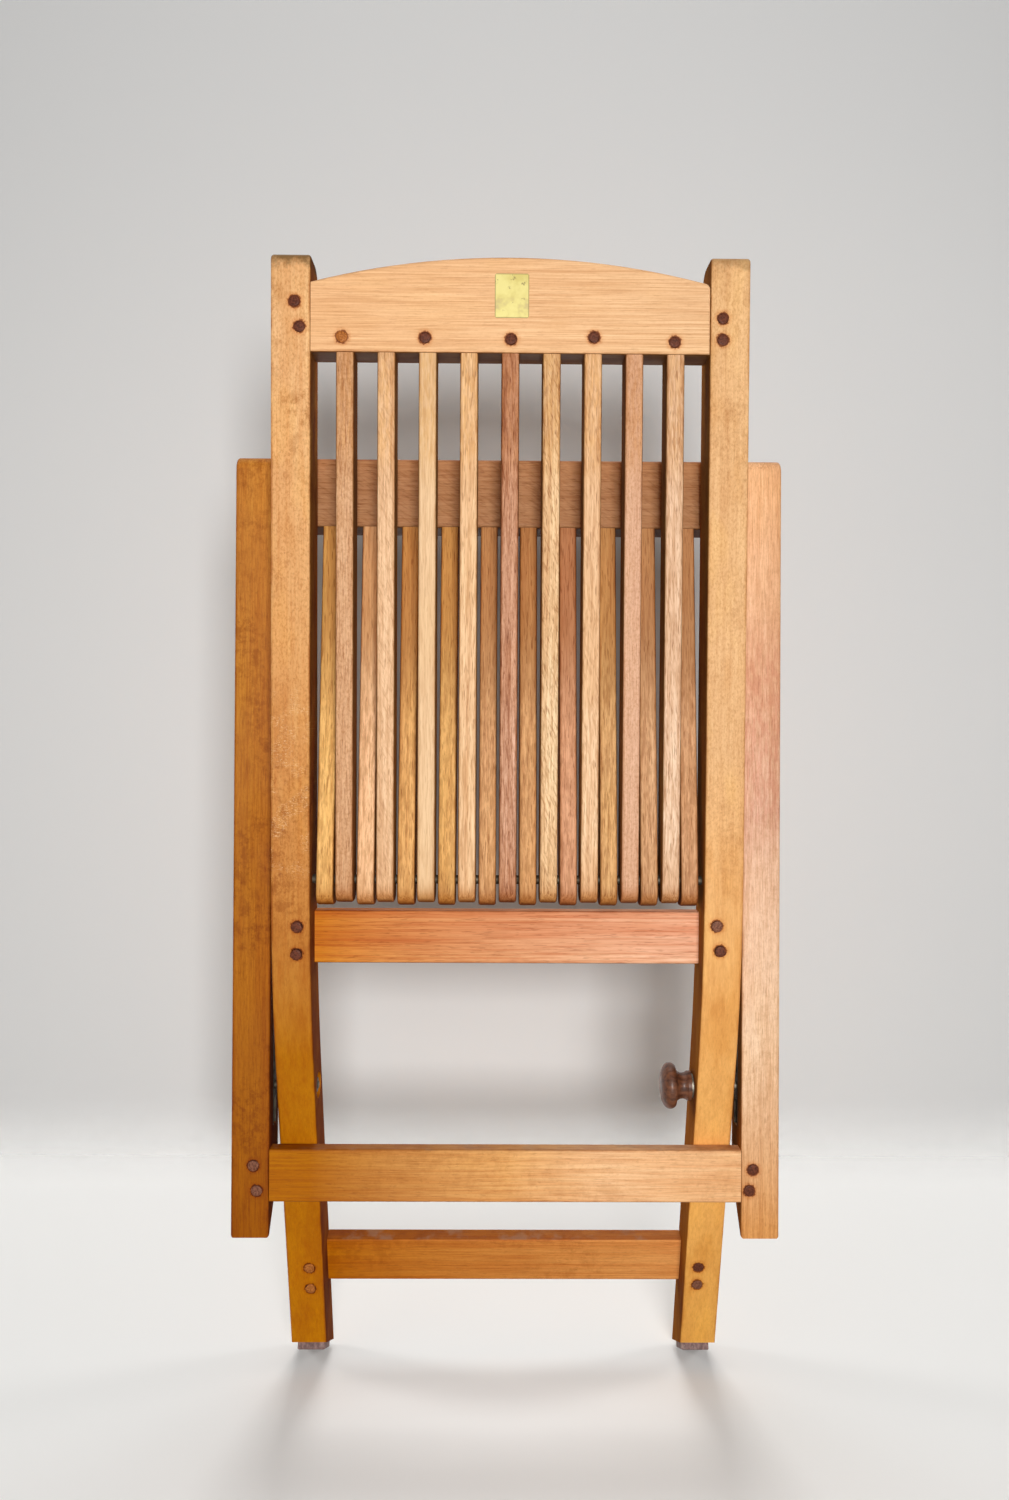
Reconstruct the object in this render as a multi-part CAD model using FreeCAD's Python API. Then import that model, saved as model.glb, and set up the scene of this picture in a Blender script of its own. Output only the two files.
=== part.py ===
import FreeCAD, Part
import math
import os
from FreeCAD import Rotation, Vector

os.makedirs("parts", exist_ok=True)

# Folding slatted garden chair, shown folded flat. All lengths are in millimetres and angles in degrees.
# X runs across the chair, +Y points to its front and +Z goes up along the back.
# The chair is drawn with Z = 0 at the seat rod and Y = 0 on the rear face of the back. It is moved to
# its own reference point, the middle of its footprint on the surface that it stands on, at the end.

# The two long stiles, each a back post and a front leg in one bent piece
BACK_WIDTH = 420.0
STILE_FACE = 35.0
STILE_DEPTH = 43.0
STILE_TOP = 550.0
STILE_TOP_REAR_RADIUS = 5.0
STILE_TOP_FRONT_RADIUS = 18.0
BEND_ANGLE = 15.4
BEND_RADIUS = 720.0
BEND_BELOW_ROD = 88.0
FRONT_LEG_LENGTH = 422.0

# The rear legs
FRAME_GAP = 6.0
REAR_LEG_FACE = 35.0
REAR_LEG_DEPTH = 43.0
REAR_LEG_AXIS_INSET = 24.0
REAR_LEG_TOP = 24.0
REAR_LEG_TOP_RADIUS = 12.0
REAR_LEG_LENGTH = 676.0

# The seat rod and the slats that it carries
ROD_INSET = 17.0
ROD_RADIUS = 4.0
ROD_SEAT_IN_STILE = 18.0
BACK_SLAT_COUNT = 9
SLAT_GAP = 2.35
SLAT_SIDE_GAP = 3.75
SLAT_DEPTH = 30.0
SLAT_NOSE_RADIUS = 12.0
BACK_SLAT_INSET = 1.0
BACK_SLAT_TAIL = 20.0
SEAT_SLAT_INSET = 9.0
SEAT_SLAT_TAIL = 23.0
SLAT_TENON_THICKNESS = 12.0
SLAT_TENON_SHOULDER = 2.4
SLAT_TENON_LENGTH = 24.0

# The arched crest rail
CREST_BOTTOM = 465.0
CREST_END_HEIGHT = 61.0
CREST_MIDDLE_HEIGHT = 83.2
CREST_THICKNESS = 32.0
CREST_TENON_HEIGHT = 52.0
CREST_CORNER_RADIUS = 6.0

# The three cross rails
RAIL_HEIGHT = 48.0
RAIL_THICKNESS = 16.0
MID_RAIL_BELOW_ROD = 30.3
FRONT_STRETCHER_DOWN_LEG = 318.0
REAR_STRETCHER_THICKNESS = 17.0
REAR_STRETCHER_ABOVE_FOOT = 40.5
RAIL_TENON_HEIGHT = 42.0
RAIL_TENON_THICKNESS = 9.0
TENON_LENGTH = 24.0
MORTISE_END_GAP = 1.0

# The seat frame
SEAT_TILT = 7.4
SEAT_RAIL_BOTTOM = 323.0
SEAT_RAIL_HEIGHT = 65.0
SEAT_RAIL_THICKNESS = 32.0
SEAT_PIVOT_ALONG = 364.5
SEAT_PIVOT_INSET = 16.0
PIVOT_WASHER_THICKNESS = 1.0
PIVOT_WASHER_RADIUS = 11.0
SIDE_PLAY = 0.3

# How far the seat swings from folded to ready for use
SEAT_OPENING = 99.4

# Dowels that lock the tenons, driven in from behind
DOWEL_RADIUS = 5.0
DOWEL_LENGTH = 31.0
DOWEL_PROUD = 0.3
DOWEL_EDGE = 4.0
CREST_DOWEL_SPACING = 21.0
CREST_DOWEL_LOW = 17.0
SLAT_DOWEL_RISE = 12.0
SLAT_DOWEL_LENGTH = 24.0

# The pins were drilled by hand. Each pair gives how far its lower and its upper pin lie from their even
# places, outwards and up. The last row gives the pins of the crest rail, to the right and up.
LEFT = -1
RIGHT = 1
CREST_DRIFT = {LEFT: ((-1.8, 4.6), (2.6, 5.5)), RIGHT: ((-0.4, -4.1), (-0.6, -6.5))}
MIDDLE_DRIFT = {LEFT: ((0.8, 0.8), (0.0, 1.5)), RIGHT: ((3.6, 5.1), (0.0, 3.6))}
FRONT_DRIFT = {LEFT: ((1.9, 1.9), (1.9, 1.9)), RIGHT: ((1.4, 7.0), (1.6, 3.6))}
REAR_DRIFT = {LEFT: ((0.0, -1.7), (3.0, -2.8)), RIGHT: ((-4.0, -0.7), (-0.7, -5.6))}
SLAT_PIN_DRIFT = ((-2.6, 0.9), (-2.4, 0.8), (0.4, 0.0), (0.4, 2.2), (-1.3, -1.4))

# Foot glides under the four legs
GLIDE_WIDTH = 27.0
GLIDE_LENGTH = 36.0
GLIDE_THICKNESS = 7.5
NAIL_HEAD_RADIUS = 4.0
NAIL_SHANK_RADIUS = 1.6
NAIL_LENGTH = 26.0
NAIL_SINK = 2.0

# Clamp bolts where the rear legs cross the front legs
CLAMP_ABOVE_REAR_FOOT = 117.1
BOLT_RADIUS = 4.0
BOLT_GAP = 0.35
NUT_ACROSS_FLATS = 13.0
NUT_THICKNESS = 6.5
CLAMP_WASHER_RADIUS = 11.0
CLAMP_WASHER_THICKNESS = 2.0
BOLT_END_PROUD = 1.2
NUT_POCKET_DEPTH = 9.5
NUT_POCKET_RADIUS = 12.5

# The hand knob on the right clamp bolt
KNOB_LENGTH = 28.0
KNOB_RADIUS = 21.0
KNOB_NECK_RADIUS = 12.0
KNOB_BASE_RADIUS = 13.5
INSERT_RADIUS = 6.5
INSERT_LENGTH = 18.0

# Steel tracks let into the inner faces of the rear legs, with a sliding nut in each
TRACK_WIDTH = 16.0
TRACK_DEPTH = 9.0
TRACK_WALL = 1.6
TRACK_SLOT = 8.6
TRACK_END = 24.0
SLIDER_LENGTH = 24.0
SLIDER_CLEARANCE = 0.3
TRACK_SCREW_RADIUS = 1.75
TRACK_SCREW_HEAD_RADIUS = 3.4
TRACK_SCREW_LENGTH = 15.0

# Pivot bolts through the tops of the rear legs
PIVOT_HEAD_RADIUS = 8.0
PIVOT_HEAD_THICKNESS = 4.5
PIVOT_HEAD_CLEARANCE = 0.4
PIVOT_HEAD_SUNK = 0.5
PIVOT_BOLT_REACH = 50.0
PIVOT_SOCKET_FLATS = 5.0
PIVOT_SOCKET_DEPTH = 2.6

# Running clearance of a turning hole over its pin, on the radius, and the worked edges
RUNNING_CLEARANCE = 0.08
EDGE = 2.6
SLAT_EDGE = 2.4
RAIL_EDGE = 2.0
FOOT_EDGE = 1.2

# Places that follow from the sizes above
X_AXIS = Vector(1, 0, 0)
ORIGIN = Vector(0, 0, 0)
STILE_HALF = STILE_DEPTH / 2
DOWEL_SPACING = RAIL_TENON_HEIGHT - 2 * (DOWEL_RADIUS + DOWEL_EDGE)
BACK_OUTER = BACK_WIDTH / 2
BACK_INNER = BACK_OUTER - STILE_FACE
REAR_INNER = BACK_OUTER + FRAME_GAP
REAR_OUTER = REAR_INNER + REAR_LEG_FACE
SLAT_PITCH = (2 * BACK_INNER - 2 * SLAT_SIDE_GAP + SLAT_GAP) / (BACK_SLAT_COUNT + 0.5)
SLAT_WIDTH = SLAT_PITCH / 2 - SLAT_GAP
SLAT_TENON_WIDTH = SLAT_WIDTH - 2 * SLAT_TENON_SHOULDER
ROD = Vector(0, ROD_INSET, 0)
BEND = Vector(0, STILE_HALF, -BEND_BELOW_ROD)
LEG_TURN = Rotation(X_AXIS, BEND_ANGLE)
SEAT_TURN = Rotation(X_AXIS, -SEAT_TILT)
SEAT_REAR = -SEAT_SLAT_INSET
PIVOT = ROD + SEAT_TURN.multVec(Vector(0, SEAT_REAR + SEAT_PIVOT_INSET, SEAT_PIVOT_ALONG))
REAR_STRETCHER_BELOW_PIVOT = REAR_LEG_LENGTH - REAR_STRETCHER_ABOVE_FOOT


def point_on_front_leg(distance):
    """The point on the axis of the front leg that lies this far from the rear leg pivot."""
    along = LEG_TURN.multVec(Vector(0, 0, -1))
    start = BEND - PIVOT
    half = start.dot(along)
    reach = -half + math.sqrt(half * half - start.dot(start) + distance * distance)
    return BEND + along * reach


CLAMP = point_on_front_leg(REAR_LEG_LENGTH - CLAMP_ABOVE_REAR_FOOT)


def lean(upper, lower):
    """Angle that turns straight down into the way from upper to lower, about X."""
    way = lower - upper
    return math.degrees(math.atan2(way.y, -way.z))


REAR_LEAN = lean(PIVOT, CLAMP)
REAR_TURN = Rotation(X_AXIS, REAR_LEAN)
TRACK_FOLDED = (CLAMP - PIVOT).Length

# The same pivots with the chair open, seen from the back frame
OPEN_TURN = Rotation(X_AXIS, -SEAT_OPENING)
PIVOT_OPEN = ROD + OPEN_TURN.multVec(PIVOT - ROD)
REAR_LEAN_OPEN = lean(PIVOT_OPEN, CLAMP)
REAR_SWING = REAR_LEAN_OPEN - REAR_LEAN
TRACK_OPEN = (CLAMP - PIVOT_OPEN).Length

# The open chair stands on the underside of its four glides, and that surface gives both foot cuts
FRONT_FOOT = BEND + LEG_TURN.multVec(Vector(0, 0, -FRONT_LEG_LENGTH))
REAR_FOOT = PIVOT + REAR_TURN.multVec(Vector(0, 0, -REAR_LEG_LENGTH))
REAR_FOOT_OPEN = PIVOT_OPEN + Rotation(X_AXIS, REAR_LEAN_OPEN).multVec(Vector(0, 0, -REAR_LEG_LENGTH))
RECLINE = math.degrees(math.atan2(REAR_FOOT_OPEN.z - FRONT_FOOT.z, FRONT_FOOT.y - REAR_FOOT_OPEN.y))
FRONT_CUT = Rotation(X_AXIS, -RECLINE)
REAR_CUT = Rotation(X_AXIS, -RECLINE - REAR_SWING)


def box(x0, x1, y0, y1, z0, z1):
    return Part.makeBox(x1 - x0, y1 - y0, z1 - z0, Vector(x0, y0, z0))


def rod_x(radius, x0, x1, centre):
    return Part.makeCylinder(radius, x1 - x0, Vector(x0, centre.y, centre.z), X_AXIS)


def rod_y(radius, y0, y1, x, z):
    return Part.makeCylinder(radius, y1 - y0, Vector(x, y0, z), Vector(0, 1, 0))


def placed(shape, turn, point):
    """A shape drawn upright about the origin, turned and moved to its place."""
    moved = shape.copy()
    moved.Placement = FreeCAD.Placement(point, turn).multiply(moved.Placement)
    return moved


def on_front_leg(shape):
    return placed(shape, LEG_TURN, BEND)


def on_rear_leg(shape):
    return placed(shape, REAR_TURN, PIVOT)


def on_seat(shape):
    return placed(shape, SEAT_TURN, ROD)


def mirrored(shape):
    return shape.mirror(ORIGIN, X_AXIS)


def cut_by(shape, tools):
    return shape.cut(Part.makeCompound(tools)).Solids[0]


def arc(start, middle, end):
    return Part.Arc(start, middle, end).toShape()


def line(start, end):
    return Part.makeLine(start, end)


def extruded_x(edges, x0, x1):
    face = Part.Face(Part.Wire(edges))
    solid = face.extrude(Vector(x1 - x0, 0, 0))
    return placed(solid, Rotation(), Vector(x0, 0, 0))


def lies_on(edge, axis, value):
    low = getattr(edge.BoundBox, axis + "Min")
    high = getattr(edge.BoundBox, axis + "Max")
    return abs(low - value) < 1e-4 and abs(high - value) < 1e-4


def eased_sides(solid, radius, x0, x1, keep_sharp=()):
    """Round the edges around both side faces, but for those at the named heights."""
    edges = [edge for edge in solid.Edges if lies_on(edge, "X", x0) or lies_on(edge, "X", x1)]
    edges = [edge for edge in edges if not any(lies_on(edge, "Z", height) for height in keep_sharp)]
    return solid.makeFillet(radius, edges)


def eased_along(solid, radius):
    """Round the four long edges of a rail that runs along X."""
    edges = [edge for edge in solid.Edges if edge.BoundBox.XLength > 10 * radius]
    return solid.makeFillet(radius, edges)


def below_cut(point, turn, offset):
    """The space under a foot cut: a slab whose top lies above the point by the offset."""
    reach = 400.0
    return placed(box(-reach, reach, -reach, reach, -reach, offset), turn, point)


def post_top(rear, front, top, rear_radius, front_radius):
    """Side outline of a post's upper end, from its front face over the top to its rear face."""
    short = 1 - math.cos(math.radians(45))
    return [
        arc(Vector(0, front, top - front_radius),
            Vector(0, front - short * front_radius, top - short * front_radius),
            Vector(0, front - front_radius, top)),
        line(Vector(0, front - front_radius, top), Vector(0, rear + rear_radius, top)),
        arc(Vector(0, rear + rear_radius, top),
            Vector(0, rear + short * rear_radius, top - short * rear_radius),
            Vector(0, rear, top - rear_radius)),
    ]


def stile_outline():
    """Side outline of a long stile: rounded top, straight back, gentle bend, straight leg."""
    half_turn = math.radians(BEND_ANGLE) / 2
    bend_top = -BEND_BELOW_ROD + BEND_RADIUS * math.tan(half_turn)
    centre = Vector(0, STILE_HALF + BEND_RADIUS, bend_top)
    spare = FRONT_LEG_LENGTH + 2 * STILE_DEPTH

    def bend_point(radius, turn):
        return centre + Vector(0, -radius * math.cos(turn), -radius * math.sin(turn))

    rear = BEND_RADIUS + STILE_HALF
    front = BEND_RADIUS - STILE_HALF
    rear_end = BEND + LEG_TURN.multVec(Vector(0, -STILE_HALF, -spare))
    front_end = BEND + LEG_TURN.multVec(Vector(0, STILE_HALF, -spare))
    top = post_top(0, STILE_DEPTH, STILE_TOP, STILE_TOP_REAR_RADIUS, STILE_TOP_FRONT_RADIUS)
    return top + [
        line(Vector(0, 0, STILE_TOP - STILE_TOP_REAR_RADIUS), bend_point(rear, 0)),
        arc(bend_point(rear, 0), bend_point(rear, half_turn), bend_point(rear, 2 * half_turn)),
        line(bend_point(rear, 2 * half_turn), rear_end),
        line(rear_end, front_end),
        line(front_end, bend_point(front, 2 * half_turn)),
        arc(bend_point(front, 2 * half_turn), bend_point(front, half_turn), bend_point(front, 0)),
        line(bend_point(front, 0), Vector(0, STILE_DEPTH, STILE_TOP - STILE_TOP_FRONT_RADIUS)),
    ]


def tenon_box(x0, x1, y_middle, thickness, z_middle, height):
    half_y = thickness / 2
    half_z = height / 2
    return box(x0, x1, y_middle - half_y, y_middle + half_y, z_middle - half_z, z_middle + half_z)


def rail_with_tenons(x_face, y0, y1, z_middle, height, tenon_height, tenon_thickness):
    """A cross rail along X between two faces, with a tenon on each end."""
    body = box(-x_face, x_face, y0, y1, z_middle - height / 2, z_middle + height / 2)
    body = eased_along(body, RAIL_EDGE)
    y_middle = (y0 + y1) / 2
    reach = x_face + TENON_LENGTH
    tongue = tenon_box(-reach, reach, y_middle, tenon_thickness, z_middle, tenon_height)
    return body.fuse(tongue).removeSplitter()


def mortise(x_face, y_middle, thickness, z_middle, height):
    return tenon_box(x_face, x_face + TENON_LENGTH + MORTISE_END_GAP, y_middle, thickness, z_middle, height)


def dowel(x, z, y_face, length):
    """A round wooden pin driven in from behind, its head a little proud of the rear face."""
    head = rod_y(DOWEL_RADIUS, y_face - DOWEL_PROUD, y_face + length, x, z)
    rim = [edge for edge in head.Edges if lies_on(edge, "Y", y_face - DOWEL_PROUD)]
    return head.makeFillet(0.25, rim)


def dowel_hole(x, z, y_face, length):
    return rod_y(DOWEL_RADIUS, y_face - 5, y_face + length, x, z)


# Where the rails sit, in the frame of the piece that each one joins
MIDDLE_RAIL_Z = -MID_RAIL_BELOW_ROD - RAIL_HEIGHT / 2
FRONT_RAIL_REAR = STILE_DEPTH - RAIL_THICKNESS
FRONT_RAIL_MIDDLE = STILE_DEPTH - RAIL_THICKNESS / 2
REAR_FACE = -REAR_LEG_AXIS_INSET
REAR_STRETCHER_MIDDLE = REAR_FACE + REAR_STRETCHER_THICKNESS / 2
CREST_MORTISE_Z = CREST_BOTTOM + CREST_END_HEIGHT / 2
DOWEL_X = BACK_INNER + 0.33 * STILE_FACE
REAR_DOWEL_X = REAR_INNER + 0.33 * REAR_LEG_FACE



def dowel_heights(middle):
    """The even heights of the lower and the upper pin through a rail with this middle."""
    return (middle - DOWEL_SPACING / 2, middle + DOWEL_SPACING / 2)


CREST_DOWELS_Z = (CREST_BOTTOM + CREST_DOWEL_LOW, CREST_BOTTOM + CREST_DOWEL_LOW + CREST_DOWEL_SPACING)
MID_DOWELS_Z = dowel_heights(MIDDLE_RAIL_Z)
FRONT_DOWELS_Z = dowel_heights(-FRONT_STRETCHER_DOWN_LEG)
REAR_DOWELS_Z = dowel_heights(-REAR_STRETCHER_BELOW_PIVOT)


def dowel_pair(make, side, x, heights, drift, y_face):
    """The two dowels of one rail end, or their holes, drawn in the frame of the rail."""
    length = DOWEL_LENGTH if make is dowel else DOWEL_LENGTH + 1
    return [make(side * (x + out), z + up, y_face, length) for z, (out, up) in zip(heights, drift[side])]


def crest_dowels(make, side):
    return dowel_pair(make, side, DOWEL_X, CREST_DOWELS_Z, CREST_DRIFT, 0)


def middle_dowels(make, side):
    return dowel_pair(make, side, DOWEL_X, MID_DOWELS_Z, MIDDLE_DRIFT, 0)


def front_dowels(make, side):
    return dowel_pair(make, side, DOWEL_X, FRONT_DOWELS_Z, FRONT_DRIFT, -STILE_HALF)


def rear_dowels(make, side):
    return dowel_pair(make, side, REAR_DOWEL_X, REAR_DOWELS_Z, REAR_DRIFT, REAR_FACE)


def stile_dowels(make, side):
    """Every dowel of one long stile, or its hole."""
    lower = [on_front_leg(pin) for pin in front_dowels(make, side)]
    return crest_dowels(make, side) + middle_dowels(make, side) + lower


def crest_slat_dowels(make):
    """The dowels that lock every second slat in the crest rail, or their holes."""
    height = CREST_BOTTOM + SLAT_DOWEL_RISE
    places = zip(dowelled(back_slat_places()), SLAT_PIN_DRIFT)
    return [make(x + aside, height + up, 0, SLAT_DOWEL_LENGTH) for x, (aside, up) in places]


def foot_glide(x_middle, point, turn):
    """A hard plastic pad on a foot cut, with an eased rim."""
    half_x = GLIDE_WIDTH / 2
    half_y = GLIDE_LENGTH / 2
    pad = box(-half_x, half_x, -half_y, half_y, 0, GLIDE_THICKNESS)
    rim = [edge for edge in pad.Edges if lies_on(edge, "Z", 0)]
    pad = pad.makeFillet(FOOT_EDGE, rim)
    sink = Part.makeCone(NAIL_HEAD_RADIUS, NAIL_SHANK_RADIUS, NAIL_HEAD_RADIUS, Vector(0, 0, NAIL_SINK))
    pad = cut_by(pad, [sink, rod_z(NAIL_HEAD_RADIUS, 0, NAIL_SINK), rod_z(NAIL_SHANK_RADIUS, 0, NAIL_LENGTH)])
    return placed(pad, turn, Vector(x_middle, point.y, point.z))


def rod_z(radius, z0, z1):
    return Part.makeCylinder(radius, z1 - z0, Vector(0, 0, z0))


def glide_nail(x_middle, point, turn):
    head = Part.makeCone(NAIL_HEAD_RADIUS, NAIL_SHANK_RADIUS, NAIL_HEAD_RADIUS, Vector(0, 0, NAIL_SINK))
    nail = head.fuse(rod_z(NAIL_SHANK_RADIUS, NAIL_SINK, NAIL_LENGTH)).removeSplitter()
    return placed(nail, turn, Vector(x_middle, point.y, point.z))


def nail_hole(x_middle, point, turn):
    return placed(rod_z(NAIL_SHANK_RADIUS, 0, NAIL_LENGTH), turn, Vector(x_middle, point.y, point.z))


# The nut on the left bolt sits in a round pocket in the inner face of the stile
NUT_POCKET_FLOOR = -BACK_INNER - NUT_POCKET_DEPTH
NUT_SEAT = NUT_POCKET_FLOOR + CLAMP_WASHER_THICKNESS

FRONT_GLIDE_X = (BACK_INNER + BACK_OUTER) / 2
REAR_GLIDE_X = (REAR_INNER + REAR_OUTER) / 2


def stile_blank():
    """The right stile before its pins are drilled."""
    solid = extruded_x(stile_outline(), BACK_INNER, BACK_OUTER)
    solid = eased_sides(solid, EDGE, BACK_INNER, BACK_OUTER)
    solid = cut_by(solid, [below_cut(FRONT_FOOT, FRONT_CUT, GLIDE_THICKNESS)])
    cuts = [
        mortise(BACK_INNER, CREST_THICKNESS / 2, RAIL_TENON_THICKNESS, CREST_MORTISE_Z, CREST_TENON_HEIGHT),
        mortise(BACK_INNER, FRONT_RAIL_MIDDLE, RAIL_TENON_THICKNESS, MIDDLE_RAIL_Z, RAIL_TENON_HEIGHT),
        on_front_leg(mortise(BACK_INNER, FRONT_RAIL_MIDDLE - STILE_HALF, RAIL_TENON_THICKNESS,
                             -FRONT_STRETCHER_DOWN_LEG, RAIL_TENON_HEIGHT)),
        rod_x(ROD_RADIUS, BACK_INNER - 1, BACK_INNER + ROD_SEAT_IN_STILE, ROD),
        rod_x(BOLT_RADIUS, BACK_INNER - 1, BACK_OUTER + 1, CLAMP),
        nail_hole(FRONT_GLIDE_X, FRONT_FOOT, FRONT_CUT),
    ]
    return cut_by(solid, cuts)


def back_stile_right():
    return cut_by(stile_blank(), stile_dowels(dowel_hole, RIGHT))


def back_stile_left():
    pocket = rod_x(NUT_POCKET_RADIUS, NUT_POCKET_FLOOR, -BACK_INNER + 1, CLAMP)
    return cut_by(mirrored(stile_blank()), stile_dowels(dowel_hole, LEFT) + [pocket])


def crest_rail():
    low = CREST_BOTTOM
    end = low + CREST_END_HEIGHT
    peak = Vector(0, 0, low + CREST_MIDDLE_HEIGHT)
    left = Vector(-BACK_INNER, 0, end)
    right = Vector(BACK_INNER, 0, end)
    outline = Part.Wire([
        arc(left, peak, right),
        line(right, Vector(BACK_INNER, 0, low)),
        line(Vector(BACK_INNER, 0, low), Vector(-BACK_INNER, 0, low)),
        line(Vector(-BACK_INNER, 0, low), left),
    ])
    rail = Part.Face(outline).extrude(Vector(0, CREST_THICKNESS, 0))
    corner = [edge for edge in rail.Edges if lies_on(edge, "X", BACK_INNER) and lies_on(edge, "Z", end)]
    rail = rail.makeFillet(CREST_CORNER_RADIUS, corner)
    long_edges = [edge for edge in rail.Edges if edge.BoundBox.XLength > BACK_INNER]
    rail = rail.makeFillet(RAIL_EDGE, long_edges)
    reach = BACK_INNER + TENON_LENGTH
    tenons = tenon_box(-reach, reach, CREST_THICKNESS / 2, RAIL_TENON_THICKNESS,
                       CREST_MORTISE_Z, CREST_TENON_HEIGHT)
    rail = rail.fuse(tenons).removeSplitter()
    cuts = [slat_tenon(x, BACK_SLAT_INSET, CREST_BOTTOM, MORTISE_END_GAP) for x in back_slat_places()]
    cuts += crest_slat_dowels(dowel_hole) + crest_dowels(dowel_hole, LEFT) + crest_dowels(dowel_hole, RIGHT)
    return cut_by(rail, cuts)


def mid_rail():
    rail = rail_with_tenons(BACK_INNER, FRONT_RAIL_REAR, STILE_DEPTH, MIDDLE_RAIL_Z, RAIL_HEIGHT,
                            RAIL_TENON_HEIGHT, RAIL_TENON_THICKNESS)
    return cut_by(rail, middle_dowels(dowel_hole, LEFT) + middle_dowels(dowel_hole, RIGHT))


def front_stretcher():
    rail = rail_with_tenons(BACK_INNER, FRONT_RAIL_REAR - STILE_HALF, STILE_HALF, -FRONT_STRETCHER_DOWN_LEG,
                            RAIL_HEIGHT, RAIL_TENON_HEIGHT, RAIL_TENON_THICKNESS)
    return on_front_leg(cut_by(rail, front_dowels(dowel_hole, LEFT) + front_dowels(dowel_hole, RIGHT)))


def back_slat_places():
    first = -(BACK_SLAT_COUNT - 1) / 2
    return [(first + step) * SLAT_PITCH for step in range(BACK_SLAT_COUNT)]


def seat_slat_places():
    first = -BACK_SLAT_COUNT / 2
    return [(first + step) * SLAT_PITCH for step in range(BACK_SLAT_COUNT + 1)]


def dowelled(places):
    """Every second slat is pinned, from the first one on."""
    return places[::2]


def slat_tenon(x, y_rear, z_shoulder, spare):
    """The tongue at the top of a slat, or with some spare length the slot that it fits."""
    half_x = SLAT_TENON_WIDTH / 2
    y_middle = y_rear + SLAT_DEPTH / 2
    half_y = SLAT_TENON_THICKNESS / 2
    top = z_shoulder + SLAT_TENON_LENGTH + spare
    return box(x - half_x, x + half_x, y_middle - half_y, y_middle + half_y, z_shoulder, top)


def slat(x, y_rear, tail, z_shoulder, hole_radius):
    """A slat with a rounded lower end around the rod at the origin and a tongue at the top."""
    y_front = y_rear + SLAT_DEPTH
    nose = SLAT_NOSE_RADIUS
    quarter = nose * (1 - math.cos(math.radians(45)))
    x0 = x - SLAT_WIDTH / 2
    x1 = x + SLAT_WIDTH / 2
    outline = [
        line(Vector(0, y_rear, z_shoulder), Vector(0, y_rear, nose - tail)),
        arc(Vector(0, y_rear, nose - tail), Vector(0, y_rear + quarter, quarter - tail),
            Vector(0, y_rear + nose, -tail)),
        line(Vector(0, y_rear + nose, -tail), Vector(0, y_front - nose, -tail)),
        arc(Vector(0, y_front - nose, -tail), Vector(0, y_front - quarter, quarter - tail),
            Vector(0, y_front, nose - tail)),
        line(Vector(0, y_front, nose - tail), Vector(0, y_front, z_shoulder)),
        line(Vector(0, y_front, z_shoulder), Vector(0, y_rear, z_shoulder)),
    ]
    solid = eased_sides(extruded_x(outline, x0, x1), SLAT_EDGE, x0, x1, [z_shoulder])
    solid = solid.fuse(slat_tenon(x, y_rear, z_shoulder, 0)).removeSplitter()
    return cut_by(solid, [rod_x(hole_radius, x0 - 1, x1 + 1, ORIGIN)])


def back_slat(x):
    solid = slat(x, BACK_SLAT_INSET - ROD_INSET, BACK_SLAT_TAIL, CREST_BOTTOM, ROD_RADIUS)
    solid = placed(solid, Rotation(), ROD)
    if x in dowelled(back_slat_places()):
        solid = cut_by(solid, crest_slat_dowels(dowel_hole))
    return solid


def seat_dowel(make, x):
    """A dowel through the underside of the seat rail into a slat tongue, or its hole."""
    pin = make(x, SEAT_RAIL_BOTTOM + SLAT_DOWEL_RISE, -SEAT_REAR - SEAT_RAIL_THICKNESS, SLAT_DOWEL_LENGTH)
    return pin.mirror(ORIGIN, Vector(0, 1, 0))


def seat_slat(x):
    solid = slat(x, SEAT_REAR, SEAT_SLAT_TAIL, SEAT_RAIL_BOTTOM, ROD_RADIUS + RUNNING_CLEARANCE)
    if x in dowelled(seat_slat_places()):
        solid = cut_by(solid, [seat_dowel(dowel_hole, x)])
    return on_seat(solid)


SEAT_RAIL_END = REAR_INNER - SIDE_PLAY - PIVOT_WASHER_THICKNESS


def seat_front_rail():
    top = SEAT_RAIL_BOTTOM + SEAT_RAIL_HEIGHT
    rail = box(-SEAT_RAIL_END, SEAT_RAIL_END, SEAT_REAR, SEAT_REAR + SEAT_RAIL_THICKNESS,
               SEAT_RAIL_BOTTOM, top)
    rail = eased_along(rail, 2 * RAIL_EDGE)
    centre = Vector(0, SEAT_REAR + SEAT_PIVOT_INSET, SEAT_PIVOT_ALONG)
    cuts = [slat_tenon(x, SEAT_REAR, SEAT_RAIL_BOTTOM, MORTISE_END_GAP) for x in seat_slat_places()]
    cuts += [seat_dowel(dowel_hole, x) for x in dowelled(seat_slat_places())]
    cuts += [rod_x(BOLT_RADIUS, SEAT_RAIL_END - PIVOT_BOLT_REACH, SEAT_RAIL_END + 1, centre)]
    cuts += [rod_x(BOLT_RADIUS, -SEAT_RAIL_END - 1, -SEAT_RAIL_END + PIVOT_BOLT_REACH, centre)]
    return on_seat(cut_by(rail, cuts))


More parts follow.
